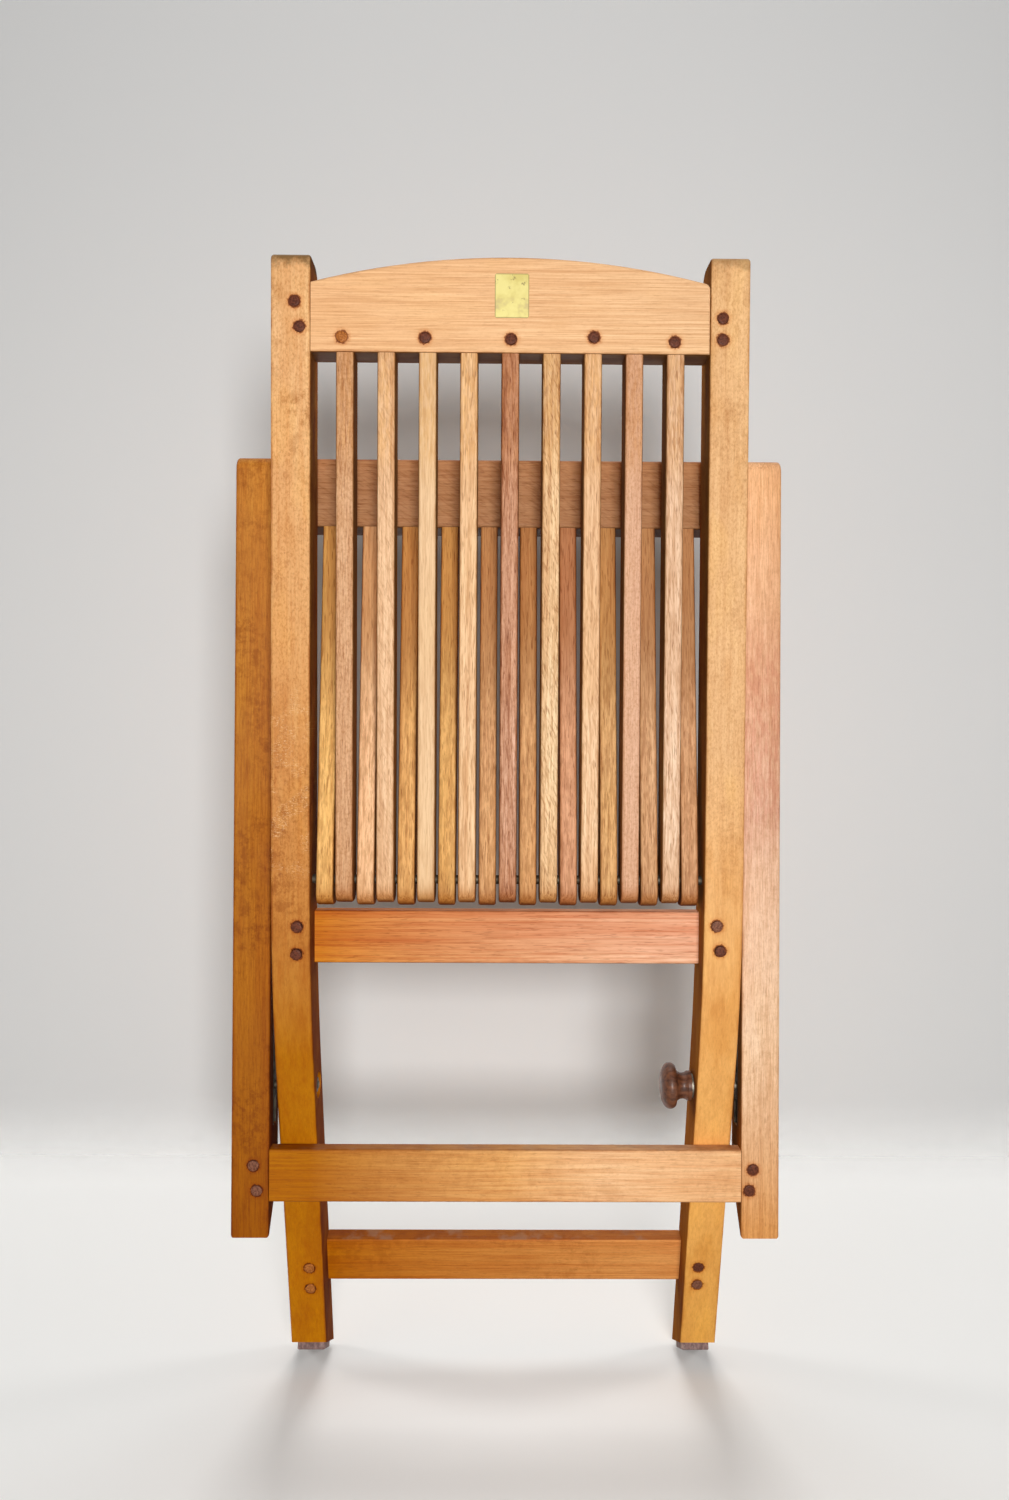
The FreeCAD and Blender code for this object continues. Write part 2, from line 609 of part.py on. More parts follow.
def pivot_bolt_right():
    head_inner = REAR_OUTER - PIVOT_HEAD_THICKNESS
    head_face = REAR_OUTER - PIVOT_HEAD_SUNK
    head = rod_x(PIVOT_HEAD_RADIUS, head_inner, head_face, PIVOT)
    rim = [edge for edge in head.Edges if lies_on(edge, "X", head_face)]
    head = head.makeFillet(0.3 * PIVOT_HEAD_THICKNESS, rim)
    shank = rod_x(BOLT_RADIUS, SEAT_RAIL_END - PIVOT_BOLT_REACH, head_inner, PIVOT)
    socket = hexagon_x(PIVOT_SOCKET_FLATS, head_face - PIVOT_SOCKET_DEPTH, head_face + 1, PIVOT)
    return cut_by(head.fuse(shank).removeSplitter(), [socket])


def pivot_washer_right():
    outer = rod_x(PIVOT_WASHER_RADIUS, SEAT_RAIL_END, SEAT_RAIL_END + PIVOT_WASHER_THICKNESS, PIVOT)
    return outer.cut(rod_x(BOLT_RADIUS, SEAT_RAIL_END - 1, REAR_INNER, PIVOT))


# How the track lies on the rear leg, measured down from the pivot
TRACK_TOP = TRACK_OPEN - SLIDER_LENGTH / 2 - TRACK_END
TRACK_BOTTOM = TRACK_FOLDED + SLIDER_LENGTH / 2 + TRACK_END
TRACK_SCREWS = (TRACK_TOP + TRACK_END / 2, TRACK_BOTTOM - TRACK_END / 2)


def rear_leg_blank():
    """The right rear leg before its pins are drilled."""
    front = REAR_FACE + REAR_LEG_DEPTH
    shoulder = REAR_LEG_TOP - REAR_LEG_TOP_RADIUS
    low = -REAR_LEG_LENGTH - 2 * REAR_LEG_DEPTH
    outline = post_top(REAR_FACE, front, REAR_LEG_TOP, REAR_LEG_TOP_RADIUS, REAR_LEG_TOP_RADIUS) + [
        line(Vector(0, REAR_FACE, shoulder), Vector(0, REAR_FACE, low)),
        line(Vector(0, REAR_FACE, low), Vector(0, front, low)),
        line(Vector(0, front, low), Vector(0, front, shoulder)),
    ]
    solid = eased_sides(extruded_x(outline, REAR_INNER, REAR_OUTER), EDGE, REAR_INNER, REAR_OUTER)
    solid = on_rear_leg(solid)
    solid = cut_by(solid, [below_cut(REAR_FOOT, REAR_CUT, GLIDE_THICKNESS)])
    head_seat = REAR_OUTER - PIVOT_HEAD_THICKNESS - PIVOT_HEAD_CLEARANCE
    half_track = TRACK_WIDTH / 2
    groove = box(REAR_INNER - 1, REAR_INNER + TRACK_DEPTH, -half_track, half_track, -TRACK_BOTTOM, -TRACK_TOP)
    cuts = [
        on_rear_leg(groove),
        on_rear_leg(mortise(REAR_INNER, REAR_STRETCHER_MIDDLE, RAIL_TENON_THICKNESS,
                            -REAR_STRETCHER_BELOW_PIVOT, RAIL_TENON_HEIGHT)),
        rod_x(BOLT_RADIUS + RUNNING_CLEARANCE, REAR_INNER - 1, REAR_OUTER, PIVOT),
        rod_x(PIVOT_HEAD_RADIUS + PIVOT_HEAD_CLEARANCE, head_seat, REAR_OUTER + 1, PIVOT),
        nail_hole(REAR_GLIDE_X, REAR_FOOT, REAR_CUT),
    ]
    cuts += [on_rear_leg(track_screw_hole(z)) for z in TRACK_SCREWS]
    return cut_by(solid, cuts)


def rear_leg_right():
    return cut_by(rear_leg_blank(), [on_rear_leg(hole) for hole in rear_dowels(dowel_hole, RIGHT)])


def rear_leg_left():
    return cut_by(mirrored(rear_leg_blank()), [on_rear_leg(hole) for hole in rear_dowels(dowel_hole, LEFT)])


def rear_stretcher():
    rail = rail_with_tenons(REAR_INNER, REAR_FACE, REAR_FACE + REAR_STRETCHER_THICKNESS,
                            -REAR_STRETCHER_BELOW_PIVOT, RAIL_HEIGHT, RAIL_TENON_HEIGHT, RAIL_TENON_THICKNESS)
    return on_rear_leg(cut_by(rail, rear_dowels(dowel_hole, LEFT) + rear_dowels(dowel_hole, RIGHT)))


def track_screw_hole(z):
    floor = REAR_INNER + TRACK_DEPTH - TRACK_WALL
    return rod_x(TRACK_SCREW_RADIUS, floor, floor + TRACK_SCREW_LENGTH, Vector(0, 0, -z))


def track_screw(z):
    """A countersunk screw in the floor of the track, drawn about the rear leg axis."""
    floor = REAR_INNER + TRACK_DEPTH - TRACK_WALL
    point = Vector(floor, 0, -z)
    sink = Part.makeCone(TRACK_SCREW_HEAD_RADIUS, TRACK_SCREW_RADIUS, TRACK_WALL, point, X_AXIS)
    return sink.fuse(track_screw_hole(z)).removeSplitter()


def track_channel_right():
    half = TRACK_WIDTH / 2
    inner = half - TRACK_WALL
    slot = TRACK_SLOT / 2
    x0 = REAR_INNER
    x1 = REAR_INNER + TRACK_DEPTH
    channel = box(x0, x1, -half, half, -TRACK_BOTTOM, -TRACK_TOP)
    cavity = box(x0 + TRACK_WALL, x1 - TRACK_WALL, -inner, inner, -TRACK_BOTTOM - 1, -TRACK_TOP + 1)
    mouth = box(x0 - 1, x0 + TRACK_WALL, -slot, slot, -TRACK_BOTTOM - 1, -TRACK_TOP + 1)
    cuts = [cavity, mouth] + [track_screw(z) for z in TRACK_SCREWS]
    return on_rear_leg(cut_by(channel, cuts))


def track_slider_right():
    half_wide = TRACK_WIDTH / 2 - TRACK_WALL - SLIDER_CLEARANCE
    half_neck = TRACK_SLOT / 2 - SLIDER_CLEARANCE
    half_long = SLIDER_LENGTH / 2
    x0 = REAR_INNER + TRACK_WALL + SLIDER_CLEARANCE
    x1 = REAR_INNER + TRACK_DEPTH - TRACK_WALL - SLIDER_CLEARANCE
    body = box(x0, x1, -half_wide, half_wide, -half_long, half_long)
    neck = box(REAR_INNER, x0, -half_neck, half_neck, -half_long, half_long)
    return placed(body.fuse(neck).removeSplitter(), REAR_TURN, CLAMP)


BOLT_END = REAR_INNER - BOLT_GAP
KNOB_BASE = BACK_INNER - CLAMP_WASHER_THICKNESS


def clamp_bolt_right():
    """Threaded bolt from the frame gap through the stile into the knob."""
    return rod_x(BOLT_RADIUS, KNOB_BASE - INSERT_LENGTH + 2, BOLT_END, CLAMP)


def clamp_bolt_left():
    end = NUT_SEAT + NUT_THICKNESS + BOLT_END_PROUD
    bolt = rod_x(BOLT_RADIUS, -BOLT_END, end, CLAMP)
    rim = [edge for edge in bolt.Edges if lies_on(edge, "X", end)]
    return bolt.makeChamfer(1.0, rim)


def washer(x0, x1, outer, bore, centre):
    return rod_x(outer, x0, x1, centre).cut(rod_x(bore, x0 - 1, x1 + 1, centre))


def hexagon_x(across_flats, x0, x1, centre):
    corner = across_flats / math.sqrt(3)
    points = [Vector(x0, corner * math.cos(math.radians(a)), corner * math.sin(math.radians(a)))
              for a in range(0, 361, 60)]
    prism = Part.Face(Part.makePolygon(points)).extrude(Vector(x1 - x0, 0, 0))
    return placed(prism, Rotation(), Vector(0, centre.y, centre.z))


def clamp_nut_left():
    nut = hexagon_x(NUT_ACROSS_FLATS, NUT_SEAT, NUT_SEAT + NUT_THICKNESS, CLAMP)
    dome = rod_x(0.97 * NUT_ACROSS_FLATS / math.sqrt(3), NUT_SEAT, NUT_SEAT + NUT_THICKNESS, CLAMP)
    rim = [edge for edge in dome.Edges if lies_on(edge, "X", NUT_SEAT + NUT_THICKNESS)]
    nut = nut.common(dome.makeChamfer(0.8, rim))
    return nut.cut(rod_x(BOLT_RADIUS, NUT_SEAT - 1, NUT_SEAT + NUT_THICKNESS + 1, CLAMP))


def lock_knob():
    """Turned hardwood knob: a small foot, a waist and a wide head with a rounded rim."""
    def at(along, radius):
        return Vector(-along, radius, 0)

    head = KNOB_LENGTH
    flat = 0.3 * KNOB_RADIUS
    foot = at(0.12 * head, KNOB_BASE_RADIUS)
    shoulder = at(0.52 * head, KNOB_RADIUS - 2.4)
    rim = at(0.86 * head, KNOB_RADIUS - 2.2)
    outline = [
        line(at(0, 0), at(0, KNOB_BASE_RADIUS)),
        line(at(0, KNOB_BASE_RADIUS), foot),
        arc(foot, at(0.34 * head, KNOB_NECK_RADIUS), shoulder),
        arc(shoulder, at(0.68 * head, KNOB_RADIUS), rim),
        arc(rim, at(0.96 * head, 0.66 * KNOB_RADIUS), at(head, flat)),
        line(at(head, flat), at(head, 0)),
        line(at(head, 0), at(0, 0)),
    ]
    knob = Part.Face(Part.Wire(outline)).revolve(ORIGIN, X_AXIS, 360)
    knob = placed(knob.Solids[0] if knob.Solids else knob, Rotation(), Vector(KNOB_BASE, CLAMP.y, CLAMP.z))
    socket = rod_x(INSERT_RADIUS, KNOB_BASE - INSERT_LENGTH, KNOB_BASE + 1, CLAMP)
    return cut_by(knob, [socket])


def knob_insert():
    """Brass sleeve in the knob that runs on the clamp bolt."""
    sleeve = rod_x(INSERT_RADIUS, KNOB_BASE - INSERT_LENGTH, KNOB_BASE, CLAMP)
    bore_end = KNOB_BASE - INSERT_LENGTH + 2 - SIDE_PLAY
    bore = rod_x(BOLT_RADIUS + RUNNING_CLEARANCE, bore_end, KNOB_BASE + 1, CLAMP)
    return sleeve.cut(bore)


def both(solid):
    return [mirrored(solid), solid]


def all_pieces():
    """Every node by name, as a list of separate solids."""
    nodes = {
        "left_back_stile": [back_stile_left()],
        "right_back_stile": [back_stile_right()],
        "crest_rail": [crest_rail()],
        "mid_rail": [mid_rail()],
        "front_stretcher": [front_stretcher()],
    }
    for number, x in enumerate(back_slat_places(), 1):
        nodes["back_slat_%d" % number] = [back_slat(x)]
    reach = BACK_INNER + ROD_SEAT_IN_STILE
    nodes["seat_rod"] = [rod_x(ROD_RADIUS, -reach, reach, ROD)]
    nodes["back_frame_dowels"] = stile_dowels(dowel, LEFT) + stile_dowels(dowel, RIGHT)
    nodes["crest_slat_dowels"] = crest_slat_dowels(dowel)
    nodes["front_foot_glides"] = both(foot_glide(FRONT_GLIDE_X, FRONT_FOOT, FRONT_CUT))
    nodes["front_glide_nails"] = both(glide_nail(FRONT_GLIDE_X, FRONT_FOOT, FRONT_CUT))
    nodes["left_clamp_bolt"] = [clamp_bolt_left()]
    nodes["left_clamp_nut"] = [clamp_nut_left()]
    nodes["left_clamp_washer"] = [washer(NUT_POCKET_FLOOR, NUT_SEAT, CLAMP_WASHER_RADIUS, BOLT_RADIUS, CLAMP)]
    nodes["right_clamp_bolt"] = [clamp_bolt_right()]
    washer_end = KNOB_BASE + SIDE_PLAY
    nodes["knob_washer"] = [washer(washer_end, BACK_INNER, CLAMP_WASHER_RADIUS, BOLT_RADIUS, CLAMP)]

    nodes["seat_front_rail"] = [seat_front_rail()]
    for number, x in enumerate(seat_slat_places(), 1):
        nodes["seat_slat_%d" % number] = [seat_slat(x)]
    nodes["seat_slat_dowels"] = [on_seat(seat_dowel(dowel, x)) for x in dowelled(seat_slat_places())]
    nodes["left_pivot_bolt"] = [mirrored(pivot_bolt_right())]
    nodes["right_pivot_bolt"] = [pivot_bolt_right()]
    nodes["pivot_washers"] = both(pivot_washer_right())

    nodes["left_rear_leg"] = [rear_leg_left()]
    nodes["right_rear_leg"] = [rear_leg_right()]
    nodes["rear_stretcher"] = [rear_stretcher()]
    pins = rear_dowels(dowel, LEFT) + rear_dowels(dowel, RIGHT)
    nodes["rear_leg_dowels"] = [on_rear_leg(pin) for pin in pins]
    nodes["rear_foot_glides"] = both(foot_glide(REAR_GLIDE_X, REAR_FOOT, REAR_CUT))
    nodes["rear_glide_nails"] = both(glide_nail(REAR_GLIDE_X, REAR_FOOT, REAR_CUT))
    nodes["left_track_channel"] = [mirrored(track_channel_right())]
    nodes["right_track_channel"] = [track_channel_right()]
    screws = [on_rear_leg(track_screw(z)) for z in TRACK_SCREWS]
    nodes["track_screws"] = screws + [mirrored(screw) for screw in screws]

    nodes["left_track_slider"] = [mirrored(track_slider_right())]
    nodes["right_track_slider"] = [track_slider_right()]
    nodes["lock_knob"] = [lock_knob()]
    nodes["knob_insert"] = [knob_insert()]
    return nodes


def solids_of(shapes):
    return [solid for shape in shapes for solid in shape.Solids]


def reference_point(nodes):
    """Middle of the folded chair's box, at the height of its lowest point."""
    whole = Part.makeCompound([solid for shapes in nodes.values() for solid in solids_of(shapes)])
    room = whole.optimalBoundingBox()
    return Vector((room.XMin + room.XMax) / 2, (room.YMin + room.YMax) / 2, room.ZMin)


def export(nodes):
    shift = reference_point(nodes)
    for name, shapes in nodes.items():
        solids = solids_of(shapes)
        shape = solids[0] if len(solids) == 1 else Part.makeCompound(solids)
        shape = placed(shape, Rotation(), Vector(-shift.x, -shift.y, -shift.z))
        shape.exportStep("parts/%s.step" % name)
    return shift


pieces = all_pieces()
base = export(pieces)
for label, point in (("seat hinge", ROD), ("rear leg pivot", PIVOT), ("clamp bolt", CLAMP),
                     ("front foot", FRONT_FOOT), ("rear foot", REAR_FOOT)):
    print("%-15s y %9.4f  z %9.4f" % (label, point.y - base.y, point.z - base.z))
print("seat opening %.6f, rear leg swing about its pivot %.6f" % (SEAT_OPENING, REAR_SWING + SEAT_OPENING))
print("track travel %.6f, rear leg lean %.6f" % (TRACK_FOLDED - TRACK_OPEN, REAR_LEAN))
print("back recline in use %.6f, rear foot cut %.6f" % (RECLINE, -RECLINE - REAR_SWING))
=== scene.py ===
import math
import random

import bmesh
import bpy
from mathutils import Matrix, Vector


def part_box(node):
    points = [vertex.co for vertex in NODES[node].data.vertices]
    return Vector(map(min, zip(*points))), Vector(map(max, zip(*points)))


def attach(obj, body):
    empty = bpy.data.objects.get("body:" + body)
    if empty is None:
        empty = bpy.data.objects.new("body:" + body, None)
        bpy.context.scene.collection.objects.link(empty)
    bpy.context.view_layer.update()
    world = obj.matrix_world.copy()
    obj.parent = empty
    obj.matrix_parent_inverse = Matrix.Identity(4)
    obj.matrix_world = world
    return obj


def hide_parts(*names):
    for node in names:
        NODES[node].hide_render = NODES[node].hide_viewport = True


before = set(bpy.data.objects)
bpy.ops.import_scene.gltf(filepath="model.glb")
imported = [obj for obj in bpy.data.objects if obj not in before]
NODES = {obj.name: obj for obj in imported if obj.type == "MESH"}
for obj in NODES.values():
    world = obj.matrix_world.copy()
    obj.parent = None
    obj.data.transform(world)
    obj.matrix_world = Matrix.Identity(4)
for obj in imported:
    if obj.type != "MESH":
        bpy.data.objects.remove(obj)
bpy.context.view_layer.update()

# Camera. The photograph is taken from behind the folded chair, at about hip height.
CAMERA_PLACE = (-0.0121, -1.0738, 0.6462)
CAMERA_YAW = 0.501
CAMERA_DOWN = 1.532
CAMERA_ROLL = -0.329
CAMERA_LENS = 27.05


def camera_turn():
    yaw, down, roll = (math.radians(a) for a in (CAMERA_YAW, CAMERA_DOWN, CAMERA_ROLL))
    ahead = Vector((math.sin(yaw) * math.cos(down), math.cos(yaw) * math.cos(down), -math.sin(down)))
    level = Vector((math.cos(yaw), -math.sin(yaw), 0))
    below = ahead.cross(level)
    right = math.cos(roll) * level + math.sin(roll) * below
    lower = math.cos(roll) * below - math.sin(roll) * level
    return Matrix((right, -lower, -ahead)).transposed().to_4x4()


def add_object(name, data):
    made = bpy.data.objects.new(name, data)
    bpy.context.scene.collection.objects.link(made)
    return made


def make_camera():
    data = bpy.data.cameras.new("photo_camera")
    data.sensor_width = 36
    data.lens = CAMERA_LENS
    data.clip_start = 0.05
    camera = add_object("photo_camera", data)
    camera.matrix_world = Matrix.Translation(CAMERA_PLACE) @ camera_turn()
    bpy.context.scene.camera = camera


# Colour and shader nodes
def linear(red, green, blue):
    """A colour as seen on screen, 0 to 255, as linear light."""
    def channel(value):
        value /= 255
        return value / 12.92 if value <= 0.04045 else ((value + 0.055) / 1.055) ** 2.4
    return tuple(channel(value) for value in (red, green, blue))


class Shader:
    """A material with short calls for the nodes that it needs."""

    def __init__(self, name):
        self.material = bpy.data.materials.new(name)
        self.material.use_nodes = True
        self.tree = self.material.node_tree
        self.bsdf = self.tree.nodes["Principled BSDF"]
        source = self.node("ShaderNodeTexCoord")
        self.place = source.outputs["Object"]
        self.facing = source.outputs["Normal"]

    def node(self, kind, **settings):
        made = self.tree.nodes.new(kind)
        for key, value in settings.items():
            setattr(made, key, value)
        return made

    def feed(self, value, socket):
        if isinstance(value, bpy.types.NodeSocket):
            self.tree.links.new(value, socket)
        elif isinstance(value, tuple) and socket.type == "RGBA":
            socket.default_value = (*value[:3], 1)
        else:
            socket.default_value = value

    def math(self, operation, first, second=0.0):
        made = self.node("ShaderNodeMath", operation=operation)
        self.feed(first, made.inputs[0])
        self.feed(second, made.inputs[1])
        return made.outputs[0]

    def times(self, *values):
        """The product of a few values."""
        product = values[0]
        for value in values[1:]:
            product = self.math("MULTIPLY", product, value)
        return product

    def mix(self, factor, first, second, blend="MIX"):
        made = self.node("ShaderNodeMix", data_type="RGBA", blend_type=blend)
        self.feed(factor, made.inputs[0])
        self.feed(first, made.inputs[6])
        self.feed(second, made.inputs[7])
        return made.outputs[2]

    def tinted(self, color, factor, tint):
        """The colour multiplied by a tint, as far as the factor says."""
        return self.mix(factor, color, tint, "MULTIPLY")

    def span(self, value, low, high, out_low=0.0, out_high=1.0, curve="SMOOTHSTEP"):
        """The value moved from one range to another."""
        made = self.node("ShaderNodeMapRange", interpolation_type=curve)
        for socket, number in zip(made.inputs, (value, low, high, out_low, out_high)):
            self.feed(number, socket)
        return made.outputs[0]

    def mapped(self, vector, scale=(1, 1, 1), turn=(0, 0, 0), shift=(0, 0, 0)):
        made = self.node("ShaderNodeMapping")
        self.feed(vector, made.inputs["Vector"])
        made.inputs["Scale"].default_value = scale
        made.inputs["Rotation"].default_value = turn
        made.inputs["Location"].default_value = shift
        return made.outputs[0]

    def noise(self, vector, scale=1.0, detail=2.0, roughness=0.5, distortion=0.0):
        made = self.node("ShaderNodeTexNoise")
        self.feed(vector, made.inputs["Vector"])
        for key, value in (("Scale", scale), ("Detail", detail), ("Roughness", roughness),
                           ("Distortion", distortion)):
            made.inputs[key].default_value = value
        return made.outputs["Fac"]

    def ramp(self, factor, stops):
        made = self.node("ShaderNodeValToRGB")
        self.feed(factor, made.inputs[0])
        elements = made.color_ramp.elements
        while len(elements) < len(stops):
            elements.new(0.5)
        for element, (position, tone) in zip(elements, stops):
            element.position = position
            element.color = (*tone, 1)
        return made.outputs["Color"]

    def axis(self, name, vector=None):
        made = self.node("ShaderNodeSeparateXYZ")
        self.feed(vector or self.place, made.inputs[0])
        return made.outputs[name]

    def bump(self, height, strength, distance):
        made = self.node("ShaderNodeBump")
        made.inputs["Strength"].default_value = strength
        made.inputs["Distance"].default_value = distance
        self.feed(height, made.inputs["Height"])
        return made.outputs[0]

    def finish(self, color=None, roughness=None, normal=None, **numbers):
        if color is not None:
            self.feed(color, self.bsdf.inputs["Base Color"])
        if roughness is not None:
            self.feed(roughness, self.bsdf.inputs["Roughness"])
        if normal is not None:
            self.feed(normal, self.bsdf.inputs["Normal"])
        for key, value in numbers.items():
            self.bsdf.inputs[key.replace("_", " ")].default_value = value
        return self.material


def dress(node, material):
    """Give every material slot of a CAD node this material."""
    mesh = NODES[node].data
    if not mesh.materials:
        mesh.materials.append(material)
    for index in range(len(mesh.materials)):
        mesh.materials[index] = material


def outward_mesh(name, shape):
    """A mesh made from a bmesh, with its faces looking outward."""
    bmesh.ops.recalc_face_normals(shape, faces=shape.faces)
    mesh = bpy.data.meshes.new(name)
    shape.to_mesh(mesh)
    shape.free()
    return mesh


# Floor, wall and light
FLOOR_REACH = 5.0
FLOOR_FADE = (1.1, 2.4)  # distances from the middle at which the floor starts to fade and is gone
FLOOR_DROP = 0.0004  # keeps the floor clear of the pads' undersides
FLOOR_TONE = (0.90, 0.90, 0.89)
FLOOR_BOUNCE = (0.20, 0.20, 0.19)  # the floor as the chair's own light sees it
WALL_Y = 0.46
WALL_HALF_WIDTH = 1.7
WALL_TOP = 2.4
WALL_TONE = (0.94, 0.945, 0.95)
WALL_SIDE_FADE = (0.9, WALL_HALF_WIDTH)
WALL_TOP_FADE = (1.7, WALL_TOP)
WALL_FOOT_FADE = (0.0, 0.14)
# A painted shadow on the wall behind the chair, a soft darker zone, with the places where it starts and where it is
# full
WALL_PAINTED_SHADOW_TONE = (0.40, 0.41, 0.43)
WALL_PAINTED_SHADOW_SIDE = (0.38, 0.10)
WALL_PAINTED_SHADOW_TOP = (1.06, 0.86)
WALL_PAINTED_SHADOW_FOOT = (0.16, 0.60)
BACKGROUND_TONE = (0.70, 0.705, 0.71)
WORLD_STRENGTH = 0.08


def stage_piece(name, corners, material):
    """A flat piece of the stage, which faces the side from which its corners run anticlockwise."""
    mesh = bpy.data.meshes.new(name)
    mesh.from_pydata(corners, [], [range(len(corners))])
    mesh.materials.append(material)
    piece = add_object(name, mesh)


def cut_out(shader, clear):
    """Let the stage's surface vanish where the factor is 1, so that the background shows."""
    output = shader.tree.nodes["Material Output"]
    blend = shader.node("ShaderNodeMixShader")
    shader.feed(clear, blend.inputs[0])
    shader.tree.links.new(shader.bsdf.outputs[0], blend.inputs[1])
    shader.tree.links.new(shader.node("ShaderNodeBsdfTransparent").outputs[0], blend.inputs[2])
    shader.tree.links.new(blend.outputs[0], output.inputs["Surface"])


def seen_rays(tree):
    """1 for rays from the camera, from gloss and through glass."""
    rays = tree.nodes.new("ShaderNodeLightPath")
    seen = rays.outputs["Is Camera Ray"]
    for kind in ("Is Glossy Ray", "Is Transmission Ray"):
        either = tree.nodes.new("ShaderNodeMath")
        either.operation = "MAXIMUM"
        tree.links.new(seen, either.inputs[0])
        tree.links.new(rays.outputs[kind], either.inputs[1])
        seen = either.outputs[0]
    return seen


def make_stage():
    floor = Shader("floor")
    floor.finish(floor.mix(seen_rays(floor.tree), FLOOR_BOUNCE, FLOOR_TONE), 0.85)
    away = floor.node("ShaderNodeVectorMath", operation="LENGTH")
    floor.feed(floor.place, away.inputs[0])
    cut_out(floor, floor.span(away.outputs["Value"], *FLOOR_FADE))
    reach, low = FLOOR_REACH, -FLOOR_DROP
    stage_piece("floor", ((-reach, -reach, low), (reach, -reach, low), (reach, reach, low), (-reach, reach, low)),
                floor.material)

    # The wall shows from the chair's side only, and catches the chair's shadow without shading the chair
    wall = Shader("wall")
    aside = wall.math("ABSOLUTE", wall.axis("X"))
    up = wall.axis("Z")
    # Painted shadow: the wall's tone darkens in a soft zone behind the chair
    painted_shadow = wall.times(wall.span(aside, *WALL_PAINTED_SHADOW_SIDE), wall.span(up, *WALL_PAINTED_SHADOW_TOP),
                        wall.span(up, *WALL_PAINTED_SHADOW_FOOT))
    wall.finish(wall.mix(painted_shadow, WALL_TONE, WALL_PAINTED_SHADOW_TONE), 0.9)
    rays = wall.node("ShaderNodeLightPath")
    behind = wall.node("ShaderNodeNewGeometry").outputs["Backfacing"]
    seen = wall.times(rays.outputs["Is Camera Ray"], wall.math("SUBTRACT", 1.0, behind),
                      wall.span(aside, *WALL_SIDE_FADE, 1.0, 0.0), wall.span(up, *WALL_TOP_FADE, 1.0, 0.0),
                      wall.span(up, *WALL_FOOT_FADE))
    cut_out(wall, wall.math("SUBTRACT", 1.0, seen))
    half = WALL_HALF_WIDTH
    stage_piece("wall", ((-half, WALL_Y, 0), (half, WALL_Y, 0), (half, WALL_Y, WALL_TOP), (-half, WALL_Y, WALL_TOP)),
                wall.material)


DAYLIGHT = (1.0, 0.99, 0.97)
LIGHT_AIM = Vector((0, 0, 0.55))
LIGHTS = (
    # name, place, width, height, power in watts, colour, whether gloss shows it
    ("key", (0.16, -2.0, 0.80), 0.5, 0.5, 35, DAYLIGHT, True),
    ("fill", (-1.7, -1.7, 1.0), 1.0, 1.0, 3, (1.0, 0.95, 0.88), True),
    ("top", (0.0, 0.5, 2.4), 1.6, 0.8, 9, (1.0, 1.0, 1.0), True),
    ("front", (0.0, 2.2, 1.3), 0.9, 0.9, 34, DAYLIGHT, False),
    ("left", (-2.3, 0.55, 0.9), 0.5, 0.8, 16, DAYLIGHT, False),
    ("right", (2.3, 0.55, 0.9), 0.5, 0.8, 16, DAYLIGHT, False),
)


def make_lights():
    for name, place, width, height, power, tint, in_gloss in LIGHTS:
        data = bpy.data.lights.new(name, "AREA")
        data.shape = "RECTANGLE"
        data.size = width
        data.size_y = height
        data.energy = power
        data.color = tint
        lamp = add_object(name, data)
        lamp.visible_glossy = in_gloss
        lamp.location = place
        lamp.rotation_euler = (LIGHT_AIM - Vector(place)).to_track_quat("-Z", "Y").to_euler()


def make_world():
    """Even light from all round, and a pale grey that only the camera, gloss and glass see."""
    world = bpy.data.worlds.new("world")
    world.use_nodes = True
    tree = world.node_tree
    light = tree.nodes["Background"]
    light.inputs["Color"].default_value = (1, 1, 1, 1)
    light.inputs["Strength"].default_value = WORLD_STRENGTH
    shown = tree.nodes.new("ShaderNodeBackground")
    shown.inputs["Color"].default_value = (*BACKGROUND_TONE, 1)
    shown.inputs["Strength"].default_value = 1.0
    blend = tree.nodes.new("ShaderNodeMixShader")
    tree.links.new(seen_rays(tree), blend.inputs[0])
    tree.links.new(light.outputs[0], blend.inputs[1])
    tree.links.new(shown.outputs[0], blend.inputs[2])
    tree.links.new(blend.outputs[0], tree.nodes["World Output"].inputs["Surface"])
    bpy.context.scene.world = world
    bpy.context.scene.view_settings.view_transform = "Standard"


# The wooden pins, each found as one connected shell of its CAD node
PIN_RADIUS = 0.005
PIN_SIDES = 30
UNDERSIDE_PINS = "seat_slat_dowels"
REAR_PINS = ("back_frame_dowels", "crest_slat_dowels", "rear_leg_dowels")
PIN_NODES = REAR_PINS + (UNDERSIDE_PINS,)


def shells(mesh):
    """The separate shells of a mesh, each as a list of points."""
    parent = list(range(len(mesh.vertices)))

    def root(index):
        while parent[index] != index:
            parent[index] = parent[parent[index]]
            index = parent[index]
        return index

    merged = {}
    for vert in mesh.vertices:
        key = tuple(round(c, 6) for c in vert.co)
        if key in merged:
            parent[root(vert.index)] = root(merged[key])
        merged[key] = vert.index
    for edge in mesh.edges:
        parent[root(edge.vertices[0])] = root(edge.vertices[1])
    groups = {}
    for vert in mesh.vertices:
        groups.setdefault(root(vert.index), []).append(vert.co.copy())
    return list(groups.values())


def centre_of(points):
    """Middle of the box around the points."""
    lows = [min(p[i] for p in points) for i in range(3)]
    highs = [max(p[i] for p in points) for i in range(3)]
    return Vector([(a + b) / 2 for a, b in zip(lows, highs)])


